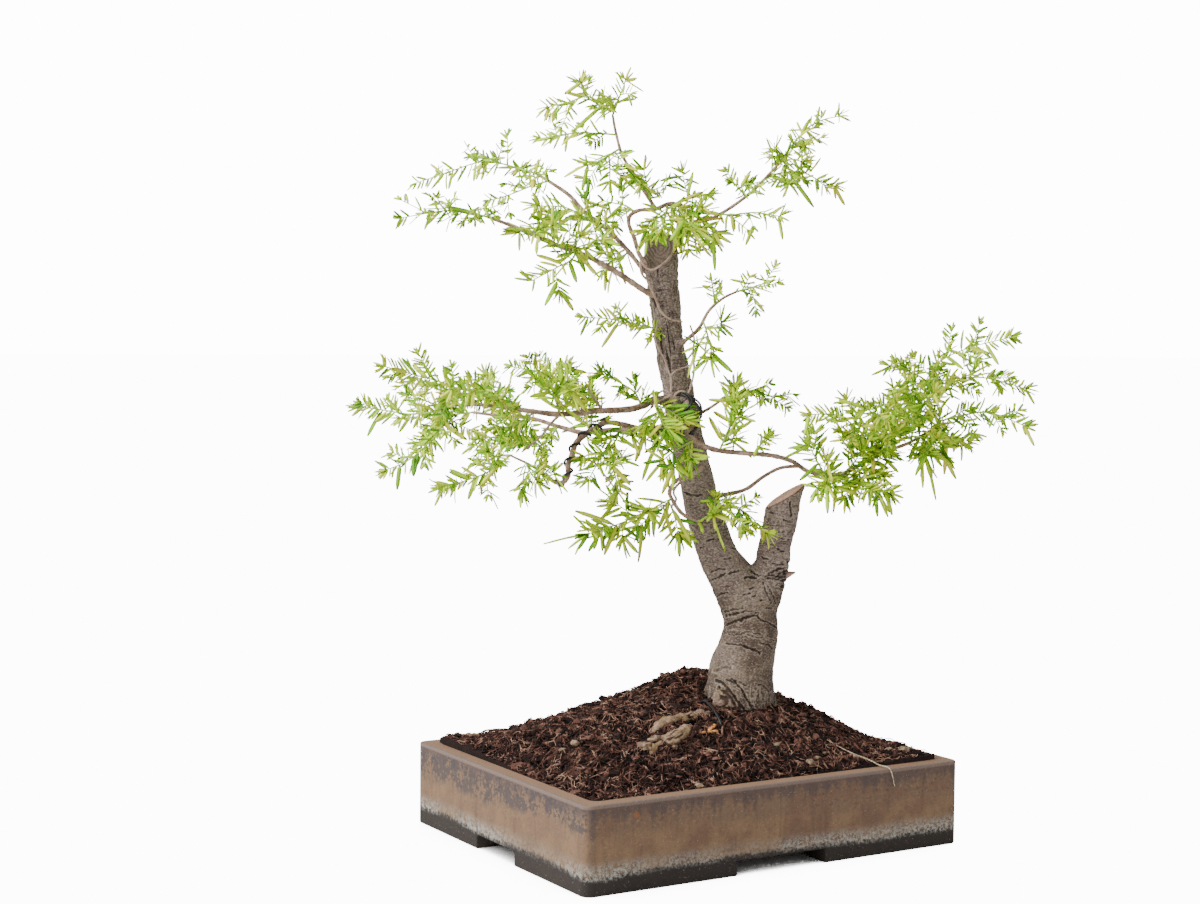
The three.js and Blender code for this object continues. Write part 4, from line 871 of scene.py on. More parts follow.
@dataclass(frozen=True)
class SoilFinish:
    """Dark red-brown peat and bark fibre. The tone runs from near black, for the darkest crumbs
    and the painted shade in the hollows, to dry straw.
    """

    dark_crumbs_and_shade: int = 0x090504
    dark: int = 0x2E1B17
    brown: int = 0x7C5448
    straw: int = 0xD6B094

    def material(self) -> bpy.types.Material:
        """Return the material."""
        shader = Shader("peat_and_bark", 0.92, 0.25)
        fine = shader.grain(520, 4)
        tone = shader.mark(Mark.TONE) + (fine - 0.5) * 0.45
        stops = [(0.0, self.dark_crumbs_and_shade), (0.3, self.dark), (0.62, self.brown), (1.0, self.straw)]
        relief = fine + shader.grain(1500, 2) * 0.4
        return shader.finish(shader.ramp(tone, stops), relief, 0.0016)


@dataclass(frozen=True)
class BarkFinish:
    """Grey-brown bark with dark wavy cracks, gnarled roots and pinkish grey cut faces."""

    grey: int = 0x877766
    brown: int = 0x54443A
    violet: int = 0x9A8683
    crack: int = 0x281D17
    # lip: a pale tone for the fine bark cells, and the painted highlight round the cracks.
    lip: int = 0xB8A898
    root: int = 0x9C805C
    root_pink: int = 0xA88874
    wood: int = 0x84706A
    wood_pink: int = 0xE0B49C
    wood_dark: int = 0x5C4A44
    cut_edge: int = 0x6E3E30
    dirt: int = 0x3A2A22
    burl: Colour = (-0.0006, -0.0690, 0.1180)

    def material(self) -> bpy.types.Material:
        """Return the material."""
        shader = Shader("bark", 0.85, 0.3)
        height = shader.height()
        cloud = shader.grain(36, 4)
        fine = shader.grain(560, 4, (1.0, 1.0, 1.6), 0.6)
        pores = shader.grain(1100, 3)
        bands = shader.grain(100, 4, (0.35, 0.35, 2.6), 0.4)
        dashes = shader.grain(230, 3, (0.3, 0.3, 2.2), 0.5).rise(0.62, 0.7)
        strings = shader.grain(330, 4, (1.0, 1.0, 0.16), 0.3)
        upper = height.rise(0.40, 0.50)
        older = height.rise(0.30, 0.42)
        colder = height.rise(0.20, 0.27)
        colour = shader.mix(cloud.rise(0.38, 0.64), self.grey, self.brown)
        colour = shader.mix(shader.grain(21, 2).rise(0.46, 0.66) * 0.3, colour, self.violet)
        colour = shader.mix(bands.rise(0.52, 0.68) * 0.4, colour, self.brown)
        colour = shader.mix(colder * 0.6, colour, self.violet)
        colour = shader.mix(older * strings.rise(0.5, 0.64) * 0.55, colour, self.crack)
        colour = shader.mix(fine.rise(0.5, 0.6) * (colder * 0.15 + 0.6), colour, self.brown)
        colour = shader.mix((1 - fine.rise(0.38, 0.47)) * (colder * 0.2 + 0.5), colour, self.lip)
        colour = shader.mix(pores.rise(0.58, 0.7) * 0.25, colour, self.crack)
        stem = 1 - shader.mark(Mark.ROOT)
        dashes = dashes * stem * height.rise(0.19, 0.21)
        colour = shader.mix(dashes * 0.6, colour, self.crack)
        foot = 1 - (height + (cloud - 0.5) * 0.05).rise(0.118, 0.140)
        colour = shader.mix(foot * stem * fine.rise(0.4, 0.56) * 0.8, colour, self.dirt)
        wood = shader.mix(cloud.rise(0.4, 0.6), self.root, self.root_pink)
        wood = shader.mix(fine.rise(0.48, 0.62) * 0.6, wood, self.brown)
        colour = shader.mix(shader.mark(Mark.ROOT), colour, wood)
        bare = 1 - (shader.away(self.burl) + (cloud - 0.5) * 0.016).rise(0.009, 0.019)
        colour = shader.mix(bare * 0.7, colour, wood)
        # The crack mark darkens the cracks and folds, and paints shade into the burl's hollows and
        # the roots' grooves.
        crack = shader.mark(Mark.CRACK_AND_SHADE)
        colour = shader.mix(crack.rise(0.16, 0.7) * 0.9, colour, self.crack)
        # Painted highlight: a pale band round each crack stands for the light on its raised edges.
        edge = crack.rise(0.04, 0.12) * (1 - crack.rise(0.14, 0.24))
        colour = shader.mix(edge * 0.6, colour, self.lip)
        rings = (shader.mark(Mark.RING) * 1900 + cloud * 34).sine() * 0.5 + 0.5
        cut = shader.mark(Mark.CUT)
        high_up = height.rise(0.38, 0.42)
        sawn = shader.mix(high_up, self.wood_pink, self.wood)
        sawn = shader.mix(rings.rise(0.5, 1.0) * high_up * 0.6, sawn, self.wood_dark)
        sawn = shader.mix(fine.rise(0.5, 0.66) * 0.4, sawn, self.wood_dark)
        colour = shader.mix(cut.rise(0.02, 0.2) * (1 - high_up), colour, self.cut_edge)
        colour = shader.mix(cut.rise(0.3, 0.7), colour, sawn)
        relief = fine * -0.8 + bands * 0.7 - dashes * 0.5 + pores * -0.3
        relief = relief - strings * upper * 1.2 + rings * cut * 0.6
        return shader.finish(colour, relief, 0.0011)


@dataclass(frozen=True)
class TwigFinish:
    """Smooth bark of branches and twigs."""

    name: str
    brown: int = 0x866A5A
    dark: int = 0x3C2820
    pale: int = 0xC4A494

    def material(self) -> bpy.types.Material:
        """Return the material."""
        shader = Shader(self.name, 0.7, 0.35)
        cloud = shader.grain(110, 3)
        fine = shader.grain(900, 3)
        colour = shader.mix(cloud.rise(0.35, 0.65), self.brown, self.pale)
        colour = shader.mix(fine.rise(0.5, 0.68) * 0.6, colour, self.dark)
        return shader.finish(colour, fine + cloud, 0.0005)


@dataclass(frozen=True)
class LeafFinish:
    """Soft bright green leaves. The tone runs from deep green to yellow and dry."""

    deep: int = 0x509C08
    green: int = 0xB8F01C
    light: int = 0xDEFE38
    yellow: int = 0xF2FA50
    dry: int = 0xF6CC60
    rib: int = 0xE2F67C

    def material(self) -> bpy.types.Material:
        """Return the material."""
        shader = Shader("leaf", 0.55, 0.28)
        along = shader.mark(Mark.ALONG)
        patch = shader.grain(160, 2)
        tone = shader.mark(Mark.TONE) + (patch - 0.5) * 0.25
        stops = [
            (0.0, self.deep), (0.3, self.green), (0.6, self.light), (0.84, self.yellow),
            (1.0, self.dry),
        ]
        colour = shader.ramp(tone, stops)
        rib = 1 - abs(shader.mark(Mark.ACROSS)).rise(0.04, 0.4)
        colour = shader.mix(rib * 0.22, colour, self.rib)
        colour = shader.mix((1 - along.rise(0.0, 0.25)) * 0.3, colour, self.rib)
        colour = shader.mix(along.rise(0.8, 1.0) * 0.25, colour, self.deep)
        return shader.finish(colour, shader.grain(1600, 2) + rib, 0.0002)


@dataclass(frozen=True)
class PlainFinish:
    """A small piece of one stuff, with a second colour in patches."""

    name: str
    main: int
    second: int
    scale: float = 220.0
    roughness: float = 0.7
    depth: float = 0.0004

    def material(self) -> bpy.types.Material:
        """Return the material."""
        shader = Shader(self.name, self.roughness)
        patch = shader.grain(self.scale, 4)
        colour = shader.mix(patch.rise(0.42, 0.6), self.main, self.second)
        return shader.finish(colour, shader.grain(self.scale * 4, 3) + patch, self.depth)


@dataclass(frozen=True)
class Stand:
    """Where the tree stands in the pot, how far it is turned, and its point of view."""

    pot: Vector
    foot: tuple[float, float] = (36.0, -12.0)
    turn: float = math.radians(30.96)
    view_across: float = -114.0
    view_back: float = 1871.0
    view_up: float = 447.0

    def tree(self, across: float, depth: float, up: float) -> Vector:
        """Return a point of the tree's own straight frame, in metres."""
        x = self.foot[0] + across * math.cos(self.turn) + depth * math.sin(self.turn)
        y = self.foot[1] - across * math.sin(self.turn) + depth * math.cos(self.turn)
        return self.pot + Vector((x, y, up)) * MM

    def place(self, across: float, up: float, depth: float) -> Vector:
        """Return a point given as across, up and depth as shown, in metres."""
        share = depth / self.view_back
        return self.tree(
            across + (across - self.view_across) * share,
            depth,
            up + (up - self.view_up) * share,
        )

    def shown(self, point: Vector) -> tuple[float, float]:
        """Return the across and up that a point in metres has as shown."""
        flat = (point - self.pot) / MM
        x, y = flat.x - self.foot[0], flat.y - self.foot[1]
        across = x * math.cos(self.turn) - y * math.sin(self.turn)
        depth = x * math.sin(self.turn) + y * math.cos(self.turn)
        share = depth / self.view_back
        return (
            (across + self.view_across * share) / (1 + share),
            (flat.z + self.view_up * share) / (1 + share),
        )

    def facing(self, across: float, depth: float, up: float) -> Vector:
        """Return a direction of the tree's frame as a unit vector."""
        return (self.tree(across, depth, up) - self.tree(0, 0, 0)).normalized()

    def run(self, stations: list[Station]) -> Run:
        """Return the stations' centres and radii, in metres."""
        return [(self.place(a, u, d), r * MM) for a, u, d, r in stations]


def smooth_run(stations: Run, step: float) -> Run:
    """Carry a smooth line through stations.

    Args:
        stations: Centres and radii.
        step: About how far apart the new centres are, in metres.

    Returns:
        The new centres and radii, with every station among them.
    """
    made: Run = []
    last = len(stations) - 1
    for i in range(last):
        points = [stations[max(i - 1, 0)], stations[i], stations[i + 1],
                  stations[min(i + 2, last)]]
        before, start, end, after = (p[0] for p in points)
        count = max(1, round((end - start).length / step))
        reach = (end - start).length / 3
        lead = (end - before).normalized() * reach
        trail = (after - start).normalized() * reach
        for k in range(count):
            t = k / count
            centre = (
                start * (1 - t) ** 3
                + (start + lead) * (3 * t * (1 - t) ** 2)
                + (end - trail) * (3 * t * t * (1 - t))
                + end * t ** 3
            )
            made.append((centre, lerp(points[1][1], points[2][1], t)))
    made.append(stations[-1])
    return made


class Bench:
    """Turns meshes into pieces of the part."""

    def __init__(self, frame: dict) -> None:
        """Keep the model's frame and find where the pot stands in it."""
        self.frame = frame
        low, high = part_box("pot")
        self.stand = Stand(Vector(((low.x + high.x) / 2, (low.y + high.y) / 2, low.z)))
        self.materials: dict[object, bpy.types.Material] = {}

    def material(self, finish: object) -> bpy.types.Material:
        """Return a finish's material, made once."""
        if finish not in self.materials:
            self.materials[finish] = finish.material()
        return self.materials[finish]

    def sweep(self, runs: list[Run], resolution: int) -> bpy.types.Mesh:
        """Make closed round tubes along runs.

        Args:
            runs: Centres and radii of each tube.
            resolution: 0 for 4 sides, 1 for 6, 2 for 8, 4 for 12.

        Returns:
            One mesh that holds them all.
        """
        curve = bpy.data.curves.new("sweep", "CURVE")
        curve.dimensions = "3D"
        curve.bevel_depth = 1.0
        curve.bevel_resolution = resolution
        curve.use_fill_caps = True
        for run in runs:
            spline = curve.splines.new("POLY")
            spline.points.add(len(run) - 1)
            for point, (centre, radius) in zip(spline.points, run):
                point.co = (*centre, 1.0)
                point.radius = radius
        mesh = self.baked(bpy.data.objects.new("sweep", curve))
        form = bmesh.new()
        form.from_mesh(mesh)
        bmesh.ops.remove_doubles(form, verts=form.verts, dist=0.002 * MM)
        bmesh.ops.recalc_face_normals(form, faces=form.faces)
        return to_mesh(form, "sweep")

    def baked(self, holder: bpy.types.Object) -> bpy.types.Mesh:
        """Return an object's mesh with its modifiers applied, and remove the object."""
        bpy.context.scene.collection.objects.link(holder)
        graph = bpy.context.evaluated_depsgraph_get()
        graph.update()
        mesh = bpy.data.meshes.new_from_object(holder.evaluated_get(graph))
        bpy.data.objects.remove(holder)
        return mesh

    def piece(
        self,
        name: str,
        mesh: bpy.types.Mesh,
        finishes: list[object],
        replaced: tuple[str, ...] = (),
    ) -> bpy.types.Object:
        """Make a mesh a piece of the part.

        Args:
            name: The piece's name.
            mesh: Its mesh, in place.
            finishes: Its finishes, in the order of the mesh's material places.
            replaced: The plain nodes that it stands for.

        Returns:
            The object.
        """
        mesh.name = name
        mesh.materials.clear()
        for finish in finishes:
            mesh.materials.append(self.material(finish))
        made = bpy.data.objects.new(name, mesh)
        bpy.context.scene.collection.objects.link(made)
        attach(made, BODY)
        if replaced:
            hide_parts(*replaced)
        LOG.info("%s: %d faces", name, len(mesh.polygons))
        return made


def to_mesh(
    form: bmesh.types.BMesh, name: str, smooth: bool = True, flat_above: float = math.inf
) -> bpy.types.Mesh:
    """Turn a bmesh into a mesh and free it.

    Args:
        form: The bmesh.
        name: The mesh's name.
        smooth: Whether its faces are shaded smooth.
        flat_above: The area above which a face is shaded flat, in square metres.

    Returns:
        The mesh.
    """
    for face in form.faces:
        face.smooth = smooth and face.calc_area() < flat_above
    mesh = bpy.data.meshes.new(name)
    form.to_mesh(mesh)
    form.free()
    return mesh


def copies(
    template: bpy.types.Mesh, count: int, marks: tuple[Mark, ...]
) -> tuple[bmesh.types.BMesh, list[list[bmesh.types.BMVert]], list[object]]:
    """Fill a bmesh with copies of a template.

    Args:
        template: The mesh to copy, which is removed.
        count: How many copies to make, one or more.
        marks: The attributes that the vertices carry.

    Returns:
        The bmesh, the vertices of each copy in the template's order, and the attributes.
    """
    form = bmesh.new()
    form.from_mesh(template)
    bpy.data.meshes.remove(template)
    for mark in marks:
        form.verts.layers.float.new(mark.value)
    layers = [form.verts.layers.float[mark.value] for mark in marks]
    sizes = [len(form.verts), len(form.edges), len(form.faces)]
    made = 1
    while made < count:
        take = min(made, count - made)
        geometry = []
        for elements, size in zip((form.verts, form.edges, form.faces), sizes):
            elements.ensure_lookup_table()
            geometry += elements[: take * size]
        bmesh.ops.duplicate(form, geom=geometry)
        made += take
    form.verts.ensure_lookup_table()
    groups = [form.verts[k * sizes[0] : (k + 1) * sizes[0]] for k in range(count)]
    return form, groups, layers


@dataclass
class Pot:
    """The fired body, with its edges eased."""

    edge_round: float = 2.4
    panel: float = 2500.0
    sharp: float = math.radians(45)
    finish: ClayFinish = ClayFinish()

    def build(self, bench: Bench) -> None:
        """Ease the edges of the plain pot and dress it.

        Args:
            bench: What makes the pieces.
        """
        form = bmesh.new()
        form.from_mesh(bench.frame["nodes"]["pot"].data)
        bmesh.ops.remove_doubles(form, verts=form.verts, dist=0.01 * MM)
        bmesh.ops.dissolve_limit(
            form, angle_limit=math.radians(2), verts=form.verts, edges=form.edges
        )
        edges = [e for e in form.edges if e.is_manifold and e.calc_face_angle() > self.sharp]
        bmesh.ops.bevel(
            form, geom=edges, offset=self.edge_round * MM, segments=3, profile=0.5,
            affect="EDGES", material=-1, clamp_overlap=True,
        )
        mesh = to_mesh(form, "pot_body", flat_above=self.panel * MM * MM)
        bench.piece("pot_body", mesh, [self.finish], ("pot",))


@dataclass
class Screens:
    """The plastic screens over the drains, which keep their plain shape."""

    finish: PlainFinish = PlainFinish("screen_plastic", 0x24272B, 0x34383C, 400, 0.6, 0.0001)

    def dress(self, bench: Bench) -> None:
        """Give both screens their finish."""
        for side in ("left", "right"):
            node = bench.frame["nodes"][f"drain_screen_{side}"]
            node.data.materials.clear()
            node.data.materials.append(bench.material(self.finish))


@dataclass
class Soil:
    """The mound of peat and bark fibre, with its crumbs, shreds and fibres."""

    length: float = 380 - 30.6
    width: float = 302 - 30.6
    wall: float = 15.0
    low: float = 22.3
    peak: tuple[float, float, float] = (30.0, 50.0, 136.0)
    edge_front: float = 66.0
    edge_back: float = 78.0
    power: float = 1.5
    cone_power: float = 0.85
    cone_left: tuple[float, float] = (-20.0, 30.0)
    cone_back: tuple[float, float] = (-45.0, 5.0)
    roundness: float = 2.6
    spacing: float = 2.2
    clump: float = 4.2
    lump: float = 2.7
    crumbs: int = 2600
    flakes: int = 1500
    shreds: int = 3650
    fibres: int = 3600
    seed: int = 31
    finish: SoilFinish = SoilFinish()
    reach: float = 0.485

    def height(self, x: float, y: float, stand: Stand) -> float:
        """Return the mound's height.

        Args:
            x: Place along the pot, in mm from its middle.
            y: Place across the pot, in mm from its middle.
            stand: Where the tree stands and how it is turned.

        Returns:
            The height above the surface that the pot stands on, in mm.
        """
        shares = []
        for value, middle, size in ((x, self.peak[0], 380.0), (y, self.peak[1], 302.0)):
            reach = size / 2 - self.wall
            side = math.copysign(1.0, value - middle) if value != middle else 0.0
            shares.append(abs(value - middle) / (reach - side * middle))
        norm = sum(share ** self.roundness for share in shares)
        outward = min(norm ** (1 / self.roundness), 1.0)
        turn = stand.turn
        back = x * math.sin(turn) + y * math.cos(turn)
        edge = lerp(self.edge_front, self.edge_back, smoothstep(-175.0, 0.0, back))
        behind = back - stand.foot[0] * math.sin(turn) - stand.foot[1] * math.cos(turn)
        cone = smoothstep(*self.cone_left, self.peak[0] - x) * smoothstep(*self.cone_back, behind)
        power = lerp(self.power, self.cone_power, cone)
        return edge + (self.peak[2] - edge) * (1 - outward ** power)

    def swell(self, x: float, y: float) -> float:
        """Return how far the clumps lift the surface at a place in the pot, in mm."""
        spot = Vector((x, y, 0.0))
        inset = min(self.length / 2 - abs(x), self.width / 2 - abs(y))
        calm = smoothstep(-2.0, 12.0, inset)
        clump = noise.fractal(spot / 15, 0.9, 2.1, 4) * self.clump
        clump += (noise.noise(spot / 5.2) + noise.noise(spot / 2.7) * 0.6) * self.lump
        return clump * (0.25 + 0.75 * calm)

    def surface(self, bench: Bench, x: float, y: float) -> Vector:
        """Return the point of the clumpy surface at a place in the pot, in metres."""
        ground = self.height(x, y, bench.stand)
        return bench.stand.pot + Vector((x, y, ground + self.swell(x, y))) * MM

    def build(self, bench: Bench) -> None:
        """Build the mound, then scatter crumbs, shreds and fibres on it.

        Args:
            bench: What makes the pieces.
        """
        form = bmesh.new()
        columns = round(self.length / self.spacing)
        rows = round(self.width / self.spacing)
        bmesh.ops.create_grid(form, x_segments=columns, y_segments=rows, size=0.5)
        tone = form.verts.layers.float.new(Mark.TONE.value)
        for vert in form.verts:
            x, y = vert.co.x * self.length, vert.co.y * self.width
            vert.co = self.surface(bench, x, y)
            # Painted shade: the tone is lighter on the clumps and darker in the hollows between
            # them.
            vert[tone] = 0.14 + 0.07 * self.swell(x, y)
        rim = [e for e in form.edges if e.is_boundary]
        wall = bmesh.ops.extrude_edge_only(form, edges=rim)["geom"]
        for vert in (e for e in wall if isinstance(e, bmesh.types.BMVert)):
            vert.co.z = self.low * MM
        floor = [e for e in wall if isinstance(e, bmesh.types.BMEdge) and e.is_boundary]
        bmesh.ops.contextual_create(form, geom=floor)
        bmesh.ops.recalc_face_normals(form, faces=form.faces)
        bench.piece("soil_mound", to_mesh(form, "soil_mound"), [self.finish], ("soil",))
        self.scatter(bench)
        self.strew(bench, "bark_shreds", self.shreds, (6.0, 19.0), (0.4, 1.0), (0.1, 0.78))
        self.strew(bench, "soil_fibres", self.fibres, (9.0, 30.0), (0.2, 0.45), (0.4, 1.0))

    def spot(self, rng: random.Random) -> tuple[float, float]:
        """Return a random place on the soil, in mm."""
        return (
            rng.uniform(-self.reach, self.reach) * self.length,
            rng.uniform(-self.reach, self.reach) * self.width,
        )

    def scatter(self, bench: Bench) -> None:
        """Lay crumbs and bark flakes on the mound."""
        rng = random.Random(self.seed)
        for name, count, flat, sizes in (
            ("soil_crumbs", self.crumbs, 0.8, (0.8, 3.4)),
            ("bark_flakes", self.flakes, 0.3, (1.8, 4.6)),
        ):
            ball = bmesh.new()
            bmesh.ops.create_icosphere(ball, subdivisions=1, radius=1.0)
            form, groups, (tone,) = copies(to_mesh(ball, name, False), count, (Mark.TONE,))
            for verts in groups:
                size = lerp(*sizes, rng.random() ** 2) * MM
                turn = Matrix.Rotation(rng.uniform(0, math.tau), 4, "Z") @ Matrix.Rotation(
                    rng.uniform(-0.9, 0.9), 4, "X"
                )
                stretch = Matrix.Diagonal((size * rng.uniform(1, 1.8), size, size * flat, 1))
                x, y = self.spot(rng)
                matrix = Matrix.Translation(self.surface(bench, x, y)) @ turn @ stretch
                # A random tone, darker in the hollows between the clumps: painted shade.
                shade = rng.uniform(0.0, 0.5) + 0.05 * self.swell(x, y)
                for vert in verts:
                    vert.co = matrix @ (vert.co * rng.uniform(0.6, 1.35))
                    vert[tone] = shade
            bench.piece(name, to_mesh(form, name, False), [self.finish])

    def strew(
        self,
        bench: Bench,
        name: str,
        count: int,
        lengths: tuple[float, float],
        radii: tuple[float, float],
        tones: tuple[float, float],
    ) -> None:
        """Lay thin curled strands on the mound as one piece.

        Args:
            bench: What makes the pieces.
            name: The piece's name.
            count: How many strands.
            lengths: The shortest and the longest, in mm.
            radii: The thinnest and the thickest, in mm.
            tones: The darkest and the palest.
        """
        rng = random.Random(self.seed + count)
        bends = 4
        runs = []
        shades = []
        for _ in range(count):
            x, y = self.spot(rng)
            heading = rng.uniform(0, math.tau)
            reach = lerp(*lengths, rng.random() ** 1.6)
            bend = rng.gauss(0, 0.5)
            radius = lerp(*radii, rng.random() ** 1.5) * MM
            lift = rng.uniform(0.0, 1.0)
            run = []
            for k in range(bends + 1):
                rise = radius / MM * 0.5 + lift + abs(rng.gauss(0, 0.7))
                point = self.surface(bench, x, y) + Vector((0, 0, rise * MM))
                run.append((point, radius * (0.5 if k in (0, bends) else 1)))
                heading += bend + rng.gauss(0, 0.25)
                x += math.cos(heading) * reach / bends
                y += math.sin(heading) * reach / bends
                x = min(max(x, -self.length / 2 + 1), self.length / 2 - 1)
                y = min(max(y, -self.width / 2 + 1), self.width / 2 - 1)
            runs.append(run)
            shades.append((run[bends // 2][0], lerp(*tones, rng.random() ** 2)))
        mesh = bench.sweep(runs, 0)
        near = KDTree(len(shades))
        for i, (centre, _) in enumerate(shades):
            near.insert(centre, i)
        near.balance()
        values = mesh.attributes.new(Mark.TONE.value, "FLOAT", "POINT").data
        for vert in mesh.vertices:
            values[vert.index].value = shades[near.find(vert.co)[1]][1]
        bench.piece(name, mesh, [self.finish])


def frames(run: Run) -> list[tuple[Vector, Vector, Vector]]:
    """Return the tangent, normal and side at each centre of a run, with the least twist."""
    made = []
    normal = None
    last = len(run) - 1
    for i in range(len(run)):
        tangent = (run[min(i + 1, last)][0] - run[max(i - 1, 0)][0]).normalized()
        if normal is None:
            normal = Vector((1, 0, 0)) if abs(tangent.z) > 0.9 else Vector((0, 0, 1))
        normal = (normal - tangent * normal.dot(tangent)).normalized()
        made.append((tangent, normal, tangent.cross(normal)))
    return made


@dataclass(frozen=True)
class Crack:
    """One family of cracks that run round the trunk. Sizes are in mm."""

    pitch: float
    length: float
    wave: float
    width: float
    depth: float
    cover: float

    def depth_at(self, along: float, ring: Vector) -> float:
        """Return how deep in a crack a point is.

        Args:
            along: Its place along the trunk, in mm.
            ring: Its place round the trunk's axis, in mm.

        Returns:
            0 on open bark, up to 1 in the middle of a crack.
        """
        bent = along + self.wave * noise.noise(Vector((ring.x / 26, ring.y / 26, along / 45)))
        row = math.floor(bent / self.pitch)
        deepest = 0.0
        for r in (row - 1, row, row + 1):
            middle = (r + 0.5 + 0.42 * noise.cell(Vector((r * 1.7 + 0.5, 0.5, 0.5)))) * self.pitch
            away = abs(bent - middle) / self.width
            if away > CRACK_REACH:
                continue
            key = Vector((ring.x / self.length, ring.y / self.length, r * 3.71))
            open_share = smoothstep(0.0, 0.22, noise.noise(key) + self.cover)
            deepest = max(deepest, math.exp(-away * away) * open_share)
        return deepest


@dataclass(frozen=True)
class Seam:
    """One long ragged crack round the trunk at a height of its own. Sizes are in mm."""

    up: float
    tilt: float
    wave: float
    width: float
    depth: float

    def depth_at(self, up: float, ring: Vector) -> float:
        """Return how deep in the seam a point is, from its height and its place round the axis."""
        wobble = noise.noise(Vector((ring.x / 9, ring.y / 9, self.up)))
        wobble += 0.5 * noise.noise(Vector((ring.x / 3, ring.y / 3, self.up)))
        away = abs(up - self.up - self.tilt * ring.x - self.wave * wobble) / self.width
        if away > CRACK_REACH:
            return 0.0
        share = smoothstep(
            -0.28, 0.1, noise.noise(Vector((ring.x / 13, ring.y / 13, self.up * 2)))
        )
        return math.exp(-away * away) * share


